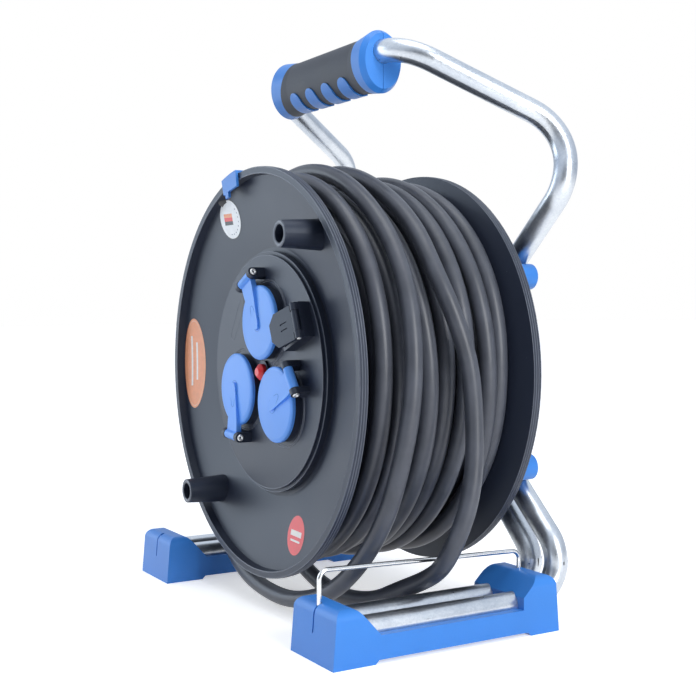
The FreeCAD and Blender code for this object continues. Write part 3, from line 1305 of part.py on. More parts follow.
def grip():
    waist = ("grip_cap_high - grip_waist_shrink", "grip_cap_deep - grip_waist_shrink")
    full = ("grip_cap_high", "grip_cap_deep")
    end = ("grip_cap_high - grip_end_shrink", "grip_cap_deep - grip_end_shrink")
    stations = [("-grip_half", end), ("-grip_half + grip_end_len", full), ("-grip_waist_half", waist),
                ("grip_waist_half", waist), ("grip_half - grip_end_len", full), ("grip_half", end)]
    skin = grip_solid([(x, high, deep) for x, (high, deep) in stations])
    slim = ("%s - sleeve_wall" % waist[0], "%s - sleeve_wall" % waist[1])
    proud = ("%s + finger_rise" % waist[0], "%s + finger_rise" % waist[1])
    core = grip_solid([(x,) + slim for x in ("-grip_half - overrun", "grip_half + overrun")])
    fingers = grip_solid([(x,) + proud for x in ("-sleeve_low_half", "sleeve_low_half")])
    wedge = body()
    pad(wedge, "XZ_Plane", [("-sleeve_low_half", "grip_z - 2 * grip_cap_high"),
                            ("sleeve_low_half", "grip_z - 2 * grip_cap_high"),
                            ("sleeve_top_half", "grip_z + grip_cap_high"),
                            ("-sleeve_top_half", "grip_z + grip_cap_high")], "far", symmetric=True)
    band = cut(common(skin, wedge), [core])
    tube_bore = cylinder("tube_r + tube_slack", "far", at("-far / 2", "grip_y", "grip_z", "y", "90"))
    cut(band, [finger_tools("0")], "grip_sleeve")
    pads = common(fingers, finger_tools("seat_gap"))
    solid = join([cut(skin, [band]), pads])
    screws = []
    holes = [tube_bore]
    for side in ("grip_screw_x", "-grip_screw_x"):
        place = at(side, "grip_y + grip_cap_deep / 2", "grip_z - grip_screw_drop", "x", "90")
        screws.append(screw("grip_screw_r", "grip_screw_len", place, "2 * grip_screw_r"))
        holes.append(screw("grip_screw_r + screw_slack", "grip_screw_len + screw_slack", place,
                           "2 * grip_screw_r + screw_slack"))
    group(screws, "grip_screws")
    moulding = cut(solid, holes)
    reach = "(grip_half + overrun)"
    front = box("-" + reach, "grip_y - seat_gap / 2 - far", "0", "2 * " + reach, "far", "2 * far")
    rear = box("-" + reach, "grip_y + seat_gap / 2", "0", "2 * " + reach, "far", "2 * far")
    common(moulding, front, "grip_front")
    common(moulding, rear, "grip_rear")


# Everything that is written out, one solid or group of like solids to a file
NODES = [
    "handle_tube", "stand_tube", "foot_left", "foot_right", "foot_screws", "bail", "axle_bracket", "clamp_caps",
    "clamp_screws", "axle", "axle_washers", "axle_ring", "axle_nut", "grip_front", "grip_rear", "grip_sleeve",
    "grip_screws", "front_flange", "rear_flange", "barrel", "drum_screws", "bearing_bush", "socket_panel",
    "panel_gasket", "panel_screws", "socket_insert_1", "socket_insert_2", "socket_insert_3", "contact_sleeves",
    "earth_clips", "thermal_cutout", "reset_button", "lid_1", "lid_2", "lid_3", "lid_seal_1", "lid_seal_2",
    "lid_seal_3", "hinge_pins", "lid_springs", "flap_housing", "flap_pin", "flap", "edge_clip", "cable_gland",
    "cable_lead", "terminal_block", "internal_wires", "cable_core", "cable_turns", "cable_tail", "plug_body",
    "plug_pins",
]


def main():
    tube(handle_path(), "handle_tube")
    tube(stand_path(), "stand_tube")
    room = tube_room()
    foot_parts(room)
    foot_screws()
    bail()
    bracket(room)
    clamp_caps(room)
    clamp_screws()
    axle()
    axle_fittings()
    grip()
    front_flange()
    rear_flange()
    barrel()
    drum_screws()
    ring("axle_r + bush_fit", BUSH_R, "-(%s + hub_reach)" % HALF, "%s + %s + hub_reach" % (HUB_END, HALF),
         label="bearing_bush")
    socket_panel()
    panel_fittings()
    for number in range(SOCKETS):
        socket_insert(number)
        lid(number)
    contacts()
    button_and_cutout()
    hinge_hardware()
    flap_box()
    flap()
    edge_clip()
    cable_inlet()
    cable_core()
    cable_turns()
    cable_tail()
    plug()
    doc.recompute()


main()
failed = [item.Label for item in doc.Objects if "Invalid" in item.State or "Error" in item.State]
if failed:
    raise RuntimeError("failed: " + ", ".join(failed))
os.makedirs("parts", exist_ok=True)
for name in NODES:
    item = doc.getObjectsByLabel(name)[0]
    if item.Shape.isNull() or not item.Shape.isValid():
        raise RuntimeError("bad shape: " + name)
for name in NODES:
    shape = doc.getObjectsByLabel(name)[0].Shape.copy()
    shape.translate(Vector(0, -S["middle_back"], 0))
    shape.exportStep("parts/%s.step" % name)
print("%d sub-parts" % len(NODES))
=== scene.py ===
# %% [markdown]
# # An extension cable reel
# This lesson dresses a finished CAD model of a cable reel in Blender. The reel's own pieces, such as
# the bent tubes, the drum and the lids, come from the model and stay where they are. What is made
# here is what a CAD program is poor at: the rubber cable with its uneven turns, the finish of
# every surface, and small raised or printed things. The reel's own places and sizes are written in
# millimetres, as it was measured. The floor, the lamps and the depth of a grain are in metres.

# %% Load the model
import json
import math

import bmesh
import bpy
from mathutils import Euler, Matrix, Vector
from mathutils.bvhtree import BVHTree


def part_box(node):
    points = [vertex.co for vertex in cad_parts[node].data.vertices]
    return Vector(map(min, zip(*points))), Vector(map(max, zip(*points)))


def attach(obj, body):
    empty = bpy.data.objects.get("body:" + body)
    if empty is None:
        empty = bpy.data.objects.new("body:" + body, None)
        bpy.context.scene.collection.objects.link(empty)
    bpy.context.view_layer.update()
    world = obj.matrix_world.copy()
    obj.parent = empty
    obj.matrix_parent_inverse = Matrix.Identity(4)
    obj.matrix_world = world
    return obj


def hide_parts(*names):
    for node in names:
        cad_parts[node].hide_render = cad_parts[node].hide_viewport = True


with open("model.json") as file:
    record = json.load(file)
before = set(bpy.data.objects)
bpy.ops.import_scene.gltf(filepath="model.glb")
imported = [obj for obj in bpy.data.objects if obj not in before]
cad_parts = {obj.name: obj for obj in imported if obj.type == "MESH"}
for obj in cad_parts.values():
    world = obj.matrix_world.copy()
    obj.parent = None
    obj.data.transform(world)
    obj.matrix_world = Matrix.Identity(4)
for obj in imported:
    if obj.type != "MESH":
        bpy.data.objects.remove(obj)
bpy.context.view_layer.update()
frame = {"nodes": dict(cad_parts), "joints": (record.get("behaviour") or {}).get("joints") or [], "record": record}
nodes = frame["nodes"]

# %% [markdown]
# ## Millimetres about the drum
# The reel was measured in millimetres from the middle of its drum, on the floor. The model's own
# origin lies a little further back, in the middle of the whole depth. One small function turns the
# first into the second, so that every place below reads as it was measured. The alternative,
# numbers in metres from the model's origin, would hide what belongs to the drum.

# %% Places and sizes that the pieces share
MM = 0.001
MIDDLE_BACK = 3.85
AXLE_HEIGHT = 169.5
CABLE_RADIUS = 6.0


def spot(x, y, z):
    return Vector((x, y - MIDDLE_BACK, z)) * MM


AXLE = spot(0, 0, AXLE_HEIGHT)
TO_SOCKETS = Vector((0, -1, 0))
print("the drum's middle is at", [round(value, 5) for value in AXLE])

# %% [markdown]
# ## The camera
# The photograph was taken from the reel's front right, a little above the axle, with a fairly long
# lens. A camera can be placed by eye, but one whose lens and place are worked out from the drum's
# circles in the photograph lets every other piece be compared with it. A camera has three turns.
# Here it is set level and turned to its heading, tipped down by two degrees, and then rolled about
# its own view, which is how a photographer's camera leans.

# %% Camera
PHOTO_WIDTH = 696
FOCAL_IN_PIXELS = 1165.2
SENSOR = 36.0
LEVEL = 90
HEADING, TILT, ROLL = 59.19, -2.04, -0.10
CAMERA_PLACE = spot(744.9, -436.9, 216.1)

camera_data = bpy.data.cameras.new("camera")
camera_data.sensor_width = SENSOR
camera_data.lens = SENSOR * FOCAL_IN_PIXELS / PHOTO_WIDTH
camera = bpy.data.objects.new("camera", camera_data)
bpy.context.scene.collection.objects.link(camera)
aim = Euler((math.radians(LEVEL + TILT), 0, math.radians(HEADING))).to_matrix()
lean = Matrix.Rotation(math.radians(ROLL), 3, "Z")
camera.matrix_world = Matrix.Translation(CAMERA_PLACE) @ (aim @ lean).to_4x4()
bpy.context.scene.camera = camera
print("lens %.1f mm" % camera_data.lens)

# %% [markdown]
# ## A round line as a curve
# A cable is a round section that follows a line. It could be a mesh tube, but a curve with a bevel
# is its natural form: the route can be changed point by point and the section stays round. A NURBS
# curve of the second degree passes smoothly near its points, like something stiff that is led
# from place to place. The bevel is left at one metre and each point's own radius scales it,
# because Blender works out a curve's box from the points' radii alone.

# %% Round line helper
def round_line(name, places, radius, roundness=6, steps_between=10, closed=False):
    data = bpy.data.curves.new(name, "CURVE")
    data.dimensions = "3D"
    data.bevel_depth = 1.0
    data.bevel_resolution = roundness
    data.resolution_u = steps_between
    data.use_fill_caps = not closed
    spline = data.splines.new("NURBS")
    spline.points.add(len(places) - 1)
    for point, place in zip(spline.points, places):
        point.co = (*place, 1.0)
        point.radius = radius
    spline.order_u = 3
    spline.use_cyclic_u = closed
    spline.use_endpoint_u = not closed
    item = bpy.data.objects.new(name, data)
    bpy.context.scene.collection.objects.link(item)
    return item


print("the cable is", 2 * CABLE_RADIUS, "mm across")

# %% [markdown]
# ## The cable's loose end
# The last two turns lie loose. They hang out of the drum below, come up on the right, pass over
# the top of the coil and end in the plug on the far side. The second of them is led under the
# wire bail on the right foot. The line could be left to a simulation, but a cable that someone
# dropped over a reel lies as it was dropped, so its points were placed one by one: where the
# photograph shows the cable, and behind the drum where it would lie of its own weight.

# %% Loose end
LOOSE_ROUTE = [
    (-131, -50.2, 157.5), (-131, -50.5, 138), (-127.5, -51.5, 104), (-115, -51.5, 66.7), (-88, -52, 35.2),
    (-52, -53, 13.5), (-8.4, -54, 7.7), (33.5, -54.5, 10.4), (73.5, -50.5, 23.5), (107, -48.5, 48),
    (133.5, -45.5, 80.5), (146.5, -42, 116.5), (151, -36.5, 155), (148.3, -33.5, 194),
    (133.7, -29.5, 230.5), (110.8, -27.5, 262), (82, -28.5, 287.8), (48, -28.5, 305.3),
    (10.9, -27.5, 313.6), (-26.6, -26, 312.8), (-62.3, -23.5, 302.7), (-93.6, -19.5, 283.1),
    (-118.4, -19.5, 255.8), (-135.2, -19.5, 222.7), (-144.3, -19.5, 186.2), (-143.7, -19.5, 147.8),
    (-132.5, -19, 109.9), (-104.5, -16.5, 68.6), (-72.7, -15.5, 42.3), (-35.8, -15.5, 21.4),
    (3.7, -17, 10.8), (40.8, -18.5, 9.5), (73.7, -15.5, 14.5), (96.5, -10.5, 25.9), (117.6, -4.5, 35.8),
    (137.3, -4.5, 47.2), (151, -3, 67.4), (155, 4.5, 91.6), (153.5, 9.5, 118.4), (151.5, 10.5, 148),
    (150, 8, 180.1), (144.5, 0, 210.3), (130, -5.5, 239.5), (109, -4.5, 265.8), (81.7, -5.5, 287.8),
    (47.5, -8.5, 305.2), (10.7, -7, 313.2), (-26.6, -2, 312.8), (-62.3, 5, 302.9), (-93.6, 12.5, 283.7),
    (-118.5, 19.5, 256.8), (-135.8, 22.5, 222.8), (-145.3, 23.5, 187.1), (-145, 23.5, 159.2),
    (-145, 23.5, 137.4),
]
loose_places = [spot(*place) for place in LOOSE_ROUTE]
loose_end = round_line("loose_cable", loose_places, CABLE_RADIUS * MM)
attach(loose_end, "stand")
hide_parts("cable_tail")
print("points on the loose end:", len(LOOSE_ROUTE))

# %% [markdown]
# ## How each turn strays
# A machine would lay the turns side by side. A hand on a crank doesn't: each turn wanders a few
# millimetres to one side and sinks between its neighbours, and the layer under it shows in the
# gaps. Noise could do that, but then no turn would lie where the photograph shows it. So the outer
# layer has short lists with one value for each turn, from the front one back: how far it strays
# at its side, its top and its foot, how deep it sinks at the side and how much it lifts at the
# top, all in millimetres.

# %% How each turn strays
WIND_TURNS = 8
HAND_LAID = {
    "side_stray": [-1.5, 1.0, 0.5, -3.0, 0.0, 0.5, 5.5, 5.5],
    "top_stray": [3.0, 4.5, 1.5, -2.0, 4.0, 4.0, -2.0, 5.0],
    "low_stray": [-2.5, 0.0, 0.0, 1.5, -2.0, -4.0, 4.0, 0.0],
    "side_sink": [-1.0, 1.5, 7.0, 0.0, 3.5, -1.0, -1.0, 3.5],
    "top_lift": [6.0, -1.0, 0.0, 0.0, 0.5, 3.5, 6.5, 6.0],
}
REGULAR = {key: [0.0] * WIND_TURNS for key in HAND_LAID}
print("the most that a turn strays:", max(HAND_LAID["side_stray"]), "mm at its side")

# %% [markdown]
# ## The wound layers
# Every layer is one helix. Blender's screw modifier can make one, but its turns are all alike, so
# a loop works out each point. Angles and places are counted back from the last turn, which lies at
# the front. In its first half turn the outer layer climbs out of the coil, and its end goes on to
# the loose end's first point, so that no gap shows there. The second layer lies half a cable
# aside, where it can be seen between the outer turns.

# %% Wound layers
OUTER_WIND_RADIUS, LAYER_DROP = 131.0, 15.0
WIND_ADVANCE, WIND_FRONT, ASIDE = 12.5, 50.0, 6
STEPS_PER_TURN = 24
CLIMB = 19


def eased(share):
    return share * share * (3 - 2 * share)


def wound_layer(name, radius, front, lay, climb=0.0, onward=None):
    places = []
    total = WIND_TURNS * STEPS_PER_TURN
    for step in range(total + 1):
        angle = math.pi + 2 * math.pi * (step - total) / STEPS_PER_TURN
        turn = min((total - step) // STEPS_PER_TURN, WIND_TURNS - 1)
        side, top, low = (1 + math.cos(angle)) / 2, max(0.0, math.sin(angle)), max(0.0, -math.sin(angle))
        stray = lay["side_stray"][turn] * side + lay["top_stray"][turn] * top + lay["low_stray"][turn] * low
        along = front - WIND_ADVANCE * (total - step) / STEPS_PER_TURN - stray
        reach = radius - climb * (1 - eased(min(1.0, 2 * step / STEPS_PER_TURN)))
        reach += lay["top_lift"][turn] * top - lay["side_sink"][turn] * side
        places.append(spot(reach * math.cos(angle), -along, AXLE_HEIGHT + reach * math.sin(angle)))
    if onward is not None:
        places.append(onward)
    layer = round_line(name, places, CABLE_RADIUS * MM)
    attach(layer, "drum")
    return layer


outer_turns = wound_layer("outer_turns", OUTER_WIND_RADIUS, WIND_FRONT, HAND_LAID, climb=CLIMB,
                          onward=loose_places[0])
second_layer = wound_layer("second_layer", OUTER_WIND_RADIUS - LAYER_DROP, WIND_FRONT - ASIDE, REGULAR)
third_layer = wound_layer("third_layer", OUTER_WIND_RADIUS - 2 * LAYER_DROP, WIND_FRONT, REGULAR)
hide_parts("cable_turns")
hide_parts("cable_core")
print("layers of", WIND_TURNS, "turns:", [layer.name for layer in (outer_turns, second_layer, third_layer)])

# %% [markdown]
# ## Rings made on a lathe
# Beads round a rim, the bright eyelets of the hinge pins and the lips of the two stubs are all
# shapes that a lathe makes. Blender has a modifier that spins an outline, but a short loop gives
# the faces at once and at any angle. Each corner of the outline is given as a distance from the
# line that it turns about and a distance along that line, in millimetres.

# %% Lathe helper
RING_STEPS = 96


def finish_mesh(mesh, name, body):
    data = bpy.data.meshes.new(name)
    mesh.to_mesh(data)
    mesh.free()
    for polygon in data.polygons:
        polygon.use_smooth = True
    item = bpy.data.objects.new(name, data)
    bpy.context.scene.collection.objects.link(item)
    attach(item, body)
    return item


def lathe(name, outline, middle, along, body, steps=RING_STEPS):
    line = along.normalized()
    side = line.orthogonal().normalized()
    up = line.cross(side)
    mesh = bmesh.new()
    rings = []
    for step in range(steps):
        turn = 2 * math.pi * step / steps
        out = side * math.cos(turn) + up * math.sin(turn)
        rings.append([mesh.verts.new(middle + (out * reach + line * far) * MM) for reach, far in outline])
    total = len(outline)
    for step in range(steps):
        now, then = rings[step], rings[(step + 1) % steps]
        for corner in range(total):
            onward = (corner + 1) % total
            mesh.faces.new((now[corner], now[onward], then[onward], then[corner]))
    bmesh.ops.recalc_face_normals(mesh, faces=mesh.faces)
    return finish_mesh(mesh, name, body)


def ring_outline(half_wide, half_deep, reach, far, corners=8):
    turns = [2 * math.pi * corner / corners for corner in range(corners)]
    return [(reach + half_wide * math.cos(turn), far + half_deep * math.sin(turn)) for turn in turns]


print("a ring has a corner every", 360 / RING_STEPS, "degrees")

# %% [markdown]
# ## Beads on the rims
# The edge of each flange isn't plain: the mould has turned grooves into it, and the beads between
# them catch the light as thin bright lines. A bump in the finish would vanish where the rim is
# seen edge on, so the beads are real rings. Each is sunk in the rim, so that only its crown
# shows. The socket panel's two steps have such an edge as well.

# %% Beads on the rims
DRUM_RADIUS, HALF_WIDTH, RIM_BAND = 145.0, 71.0, 6.3
PANEL_RADIUS, PANEL_FACE, PANEL_STEP, PANEL_STEP_DROP = 86.0, 61.5, 2.5, 2.0
RIM_BEAD, PANEL_BEAD = 0.45, 0.4
RIM_BEADS = [
    (DRUM_RADIUS - 0.35, HALF_WIDTH - 0.35), (DRUM_RADIUS - 0.15, HALF_WIDTH - 2.2),
    (DRUM_RADIUS - 0.15, HALF_WIDTH - 4.1), (DRUM_RADIUS - 0.35, HALF_WIDTH - RIM_BAND + 0.35),
    (DRUM_RADIUS - 4.5, HALF_WIDTH - 0.3),
]
PANEL_BEADS = [
    (PANEL_RADIUS - 0.3, PANEL_FACE - PANEL_STEP_DROP - 0.25),
    (PANEL_RADIUS - PANEL_STEP - 0.3, PANEL_FACE - 0.25),
]
# The pieces gathered here get a paler grey than the black plastic, a painted highlight for their thin bright
# lines.
highlighted_pieces = []
for number, (reach, far) in enumerate(RIM_BEADS, 1):
    for where, side in (("front", 1), ("rear", -1)):
        outline = ring_outline(RIM_BEAD, RIM_BEAD, reach, far * side)
        highlighted_pieces.append(lathe("%s_rim_bead_%d" % (where, number), outline, AXLE, TO_SOCKETS, "drum",
                                 steps=180))
for number, (reach, far) in enumerate(PANEL_BEADS, 1):
    outline = ring_outline(PANEL_BEAD, PANEL_BEAD, reach, far)
    highlighted_pieces.append(lathe("panel_edge_%d" % number, outline, AXLE, TO_SOCKETS, "drum",
                             steps=144))
print("beads:", len(highlighted_pieces))

# %% [markdown]
# ## Lips of the stubs
# Two short stubs on the front flange take a crank for winding. Each ends in a rounded lip, which
# many hands have made smooth. The lip could be a fillet in the model, but as a ring of its own it
# can have a finish of its own: smoother than the flange, and paler as a painted highlight.

# %% Lips of the stubs
STUB_CIRCLE, STUB_TURN, STUB_TIP = 121.2, 50.6, 90.0
STUB_OUTER, STUB_BORE = 8.9, 6.0
LIP_SUNK, LIP_CROWN = 0.9, 1.2
lip = ring_outline((STUB_OUTER - STUB_BORE) / 2, LIP_CROWN, (STUB_OUTER + STUB_BORE) / 2,
                   STUB_TIP - LIP_SUNK, corners=12)
for number, turn in enumerate((STUB_TURN, STUB_TURN + 180), 1):
    angle = math.radians(turn)
    place = spot(STUB_CIRCLE * math.cos(angle), 0, AXLE_HEIGHT + STUB_CIRCLE * math.sin(angle))
    highlighted_pieces.append(lathe("stub_lip_%d" % number, lip, place, TO_SOCKETS, "drum",
                             steps=48))
print("the lips stand", round(LIP_CROWN - LIP_SUNK, 2), "mm beyond the stubs")

# %% [markdown]
# ## Eyelets of the hinges
# Every hinge pin is closed at both ends with an eyelet, a bright ring with a dark hole. Their
# places could be typed in, but the model's joints already say where each hinge's middle is and
# which way its pin runs, and so the eyelets can't miss it. The flap's pin is thinner.

# %% Eyelets of the hinges
KNUCKLE_HALF, LUG_GAP, LUG_WALL = 8.0, 0.3, 4.2
LID_REACH = KNUCKLE_HALF + LUG_GAP + LUG_WALL
FLAP_REACH, FLAP_SCALE = 12.3, 0.62
EYELET = [(0.7, 0.0), (2.3, 0.0), (2.5, 0.35), (2.2, 0.8), (1.5, 1.05), (0.9, 0.8), (0.7, 0.3)]
eyelets = []
for joint in frame["joints"]:
    if joint["type"] != "hinge" or joint["name"] == "drum_spin":
        continue
    reach, scale = (FLAP_REACH, FLAP_SCALE) if joint["name"] == "flap_hinge" else (LID_REACH, 1.0)
    axis = Vector(joint["axis"]).normalized()
    outline = [(wide * scale, far * scale) for wide, far in EYELET]
    for letter, side in (("a", 1), ("b", -1)):
        end = Vector(joint["pos_m"]) + axis * (side * reach * MM)
        eyelets.append(lathe("%s_eyelet_%s" % (joint["name"], letter), outline, end, axis * side, "drum",
                             steps=40))
print("eyelets:", [eyelet.name for eyelet in eyelets])

# %% [markdown]
# ## Beads about the outlets
# Two fine beads run round each outlet, about the middle of the seal under its lid. That middle is
# read from the seal's own box, so the beads follow the model if an outlet moves.

# %% Beads about the outlets
BEYOND_THE_SEAL = (3.6, 5.0)
for number in (1, 2, 3):
    seal_low, seal_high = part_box("lid_seal_%d" % number)
    seal_middle = (Vector(seal_low) + Vector(seal_high)) / 2
    seal_middle.y = AXLE.y
    seal_radius = (seal_high[0] - seal_low[0]) / 2 / MM
    for line, beyond in enumerate(BEYOND_THE_SEAL, 1):
        outline = ring_outline(PANEL_BEAD, PANEL_BEAD, seal_radius + beyond, PANEL_FACE)
        highlighted_pieces.append(lathe("outlet_%d_rim_%d" % (number, line), outline, seal_middle, TO_SOCKETS,
                                 "drum"))
print("a seal's radius: %.1f mm" % seal_radius)

# %% [markdown]
# ## Thin pieces laid on a surface
# A sticker is a flat thing that takes the shape of what it is stuck to. A shrinkwrap modifier
# could press it on, but a ray for each point is as short to write and shows what it does: the
# point is dropped onto the model from the front, then raised by a tenth of a millimetre or two.
# The same ray also carries the fine raised lines on the lids and the panel.

# %% Drop points onto a node
RAY_START = -150


def surface_of(name):
    data = nodes[name].data
    return BVHTree.FromPolygons([vertex.co.copy() for vertex in data.vertices],
                                [tuple(polygon.vertices) for polygon in data.polygons])


def drop(surface, x, z, lift):
    place, normal, face, distance = surface.ray_cast(spot(x, RAY_START, z), -TO_SOCKETS)
    if place is None:
        raise RuntimeError("nothing under %.1f, %.1f" % (x, z))
    if normal.y > 0:
        normal = -normal
    return place + normal * (lift * MM)


flange = surface_of("front_flange")
print("points fall from", -RAY_START, "mm before the drum's middle")

# %% [markdown]
# ## Outlines and patches
# Every printed shape on this reel is an oval or a strip. Its outline is a list of points about
# its own middle. A patch fills it with rings of faces from the middle outwards, because a single
# large face couldn't follow the flange's dished surface.

# %% Outlines and patches
PATCH_RINGS = 6


def turned(points, degrees):
    cosine, sine = math.cos(math.radians(degrees)), math.sin(math.radians(degrees))
    return [(x * cosine - z * sine, x * sine + z * cosine) for x, z in points]


def oval(half_width, half_height, steps=64):
    angles = [2 * math.pi * step / steps for step in range(steps)]
    return [(half_width * math.cos(angle), half_height * math.sin(angle)) for angle in angles]


def strip(half_width, half_height, steps=8):
    shares = [-1 + 2 * step / steps for step in range(steps)]
    half = [(share, -1) for share in shares] + [(1, share) for share in shares]
    whole = half + [(-x, -z) for x, z in half]
    return [(x * half_width, z * half_height) for x, z in whole]


def laid_patch(name, surface, outline, x, z, lift, body):
    mesh = bmesh.new()
    middle = mesh.verts.new(drop(surface, x, z, lift))
    inner = None
    for ring in range(1, PATCH_RINGS + 1):
        share = ring / PATCH_RINGS
        outer = [mesh.verts.new(drop(surface, x + dx * share, z + dz * share, lift)) for dx, dz in outline]
        for corner in range(len(outline)):
            onward = (corner + 1) % len(outline)
            if inner:
                mesh.faces.new((inner[corner], outer[corner], outer[onward], inner[onward]))
            else:
                mesh.faces.new((middle, outer[corner], outer[onward]))
        inner = outer
    bmesh.ops.recalc_face_normals(mesh, faces=mesh.faces)
    for face in mesh.faces:
        if face.normal.y > 0:
            face.normal_flip()
    return finish_mesh(mesh, name, body)


print("points on a disc's edge:", len(oval(1, 1)), "and on a strip's:", len(strip(1, 1)))

# %% [markdown]
# ## The white disc
# The reel carries three stickers, kept as plain coloured shapes. They could be one picture each,
# but thin layers of one colour need no picture and stay sharp at any distance. The last number of
# each call is how far that layer stands off the flange, in millimetres. The first sticker is a
# white disc with a small striped block and an arc of dots.

# %% White disc
WHITE, DARK, ORANGE = (0.96, 0.96, 0.96), (0.02, 0.02, 0.025), (0.95, 0.36, 0.17)
RED, GREY = (0.90, 0.07, 0.075), (0.25, 0.25, 0.3)
WHITE_X, WHITE_Z = -56.0, 281.7
DOTS, FIRST_DOT, DOT_STEP, DOT_CIRCLE = 9, 40, -17, 11.2
stickers = {}


def sticker(name, colour, outline, x, z, lift):
    item = laid_patch(name, flange, outline, x, z, lift, "drum")
    stickers[item] = colour


sticker("white_disc_edge", DARK, oval(14.9, 14.9), WHITE_X, WHITE_Z, 0.10)
sticker("white_disc", WHITE, oval(14.3, 14.3), WHITE_X, WHITE_Z, 0.16)
for number, (colour, level) in enumerate(((ORANGE, 284.6), (RED, 281.8), (DARK, 279.0)), 1):
    sticker("white_disc_stripe_%d" % number, colour, strip(5.8, 1.4), -58.8, level, 0.22)
for number in range(DOTS):
    turn = FIRST_DOT + DOT_STEP * number
    angle = math.radians(turn)
    sticker("white_disc_dot_%d" % (number + 1), GREY, turned(oval(0.7, 0.45, 12), turn + 90),
            WHITE_X + DOT_CIRCLE * math.cos(angle), WHITE_Z + DOT_CIRCLE * math.sin(angle), 0.22)
print("layers on the white disc:", len(stickers))

# %% [markdown]
# ## The orange oval and the red disc
# The second sticker is a tall orange oval with a fine paler line inside its edge and two pale bars.
# The third is a red disc with a dark edge and two pale bars. They are laid as the first one is.

# %% Orange oval and red disc
PALE, CORAL = (0.94, 0.86, 0.80), (0.96, 0.50, 0.30)
ORANGE_X, ORANGE_Z = -124.4, 170.6
RED_X, RED_Z = 43.8, 59.0
sticker("orange_oval", ORANGE, oval(14.0, 36.0), ORANGE_X, ORANGE_Z, 0.10)
sticker("orange_oval_border", CORAL, oval(13.0, 34.6), ORANGE_X, ORANGE_Z, 0.14)
sticker("orange_oval_field", ORANGE, oval(12.2, 33.6), ORANGE_X, ORANGE_Z, 0.18)
for number, (x, half) in enumerate(((-128.2, 20.0), (-121.6, 15.0)), 1):
    sticker("orange_oval_bar_%d" % number, PALE, strip(1.1, half), x, 172.5, 0.22)
sticker("red_disc_edge", DARK, oval(13.9, 13.9), RED_X, RED_Z, 0.08)
sticker("red_disc", RED, oval(13.3, 13.3), RED_X, RED_Z, 0.14)
sticker("red_disc_bar_1", PALE, strip(8.6, 1.9), RED_X, 60.2, 0.20)
sticker("red_disc_bar_2", PALE, strip(7.4, 0.7), RED_X, 55.2, 0.20)
print("sticker pieces:", len(stickers))

# %% [markdown]
# ## Fine raised lines
# The lids have a thin moulded loop on them, and the panel a narrow trough beside the first lid,
# whose edge is a bright line. They could be bumps, but a real edge catches the light from every
# side. So each is a closed curve with a round section of three tenths of a millimetre, laid on
# the surface by the same ray and partly sunk in it.

# %% Raised lines
LINE_RADIUS = 0.3
LID_LINE_SINK, TROUGH_SINK = 0.12, 0.15
LID_CENTRES = {"lid_1": (4.1, 204.9), "lid_2": (-32.7, 155.4), "lid_3": (28.6, 148.3)}
LID_TURNS = {"lid_1": 117.0, "lid_2": 266.0, "lid_3": 35.0}
TEAR = [(13, -1.6), (6, -3.2), (0, -5.2), (-5, -4.6), (-7, 0), (-5, 4.6), (0, 5.2), (6, 3.2), (13, 1.6)]
TROUGH = [(-38.5, 225.5), (-54.5, 199.5), (-57.5, 194.0), (-55.5, 191.0), (-51.5, 190.5), (-36.0, 214.0),
          (-34.5, 222.5)]


def laid_line(name, node_name, points, sink, body):
    surface = surface_of(node_name)
    places = [drop(surface, x, z, -sink) for x, z in points]
    item = round_line(name, places, LINE_RADIUS * MM, roundness=3, steps_between=12, closed=True)
    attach(item, body)
    return item


lid_lines = []
for name, (x, z) in LID_CENTRES.items():
    loop = [(x + dx, z + dz) for dx, dz in turned(TEAR, LID_TURNS[name])]
    lid_lines.append(laid_line("%s_line" % name, name, loop, LID_LINE_SINK, name))
# The trough's edge gets the paler grey, a painted highlight.
highlighted_pieces.append(laid_line("panel_trough", "socket_panel", TROUGH, TROUGH_SINK, "drum"))
print("lines on the lids:", [line.name for line in lid_lines])

# %% [markdown]
# ## Finishes from nodes
# A finish is a small network: a texture that varies slowly over the surface, a second one that is
# fine enough to be felt rather than seen, and the shader. Writing the same three lines for every
# node gets long, so one helper makes a node, another joins two of them, and a third makes a
# texture that is fixed to the piece by its own coordinates. A texture's scale is the number of
# its grains in a metre.

# %% Node helpers
FINISHES = {}


def finish_start(name, colour, roughness, metallic=0.0):
    material = bpy.data.materials.new(name)
    material.use_nodes = True
    shader = material.node_tree.nodes["Principled BSDF"]
    shader.inputs["Base Color"].default_value = (*colour, 1)
    shader.inputs["Roughness"].default_value = roughness
    shader.inputs["Metallic"].default_value = metallic
    return material, material.node_tree, shader


def node(tree, kind, **settings):
    item = tree.nodes.new("ShaderNode" + kind)
    for key, value in settings.items():
        if hasattr(item, key):
            setattr(item, key, value)
        else:
            item.inputs[key.replace("_", " ")].default_value = value
    return item


def wire(tree, source, output, target, socket):
    tree.links.new(source.outputs[output], target.inputs[socket])


def texture(tree, place, kind, **settings):
    item = node(tree, "Tex" + kind, **settings)
    wire(tree, place, "Object", item, "Vector")
    return item


print("finishes so far:", len(FINISHES))

# %% [markdown]
# ## Colour, roughness and bump from a texture
# A texture gives a number at every point. A ramp turns that number into a colour between two
# others, a map range into a roughness between two values, and a bump node into small hills. These
# are the three ways in which the textures of this reel reach its shader.

# %% Helpers for colour, roughness and bump
def ramp(tree, source, output, low, high, first, second):
    item = node(tree, "ValToRGB")
    item.color_ramp.elements[0].position = low
    item.color_ramp.elements[0].color = (*first, 1)
    item.color_ramp.elements[1].position = high
    item.color_ramp.elements[1].color = (*second, 1)
    wire(tree, source, output, item, "Fac")
    return item


def multiplied(tree, first, second):
    both = node(tree, "MixRGB", blend_type="MULTIPLY")
    both.inputs[0].default_value = 1.0
    wire(tree, first, "Color", both, 1)
    wire(tree, second, "Color", both, 2)
    return both


def shade(colour, factor):
    return tuple(min(1.0, channel * factor) for channel in colour)


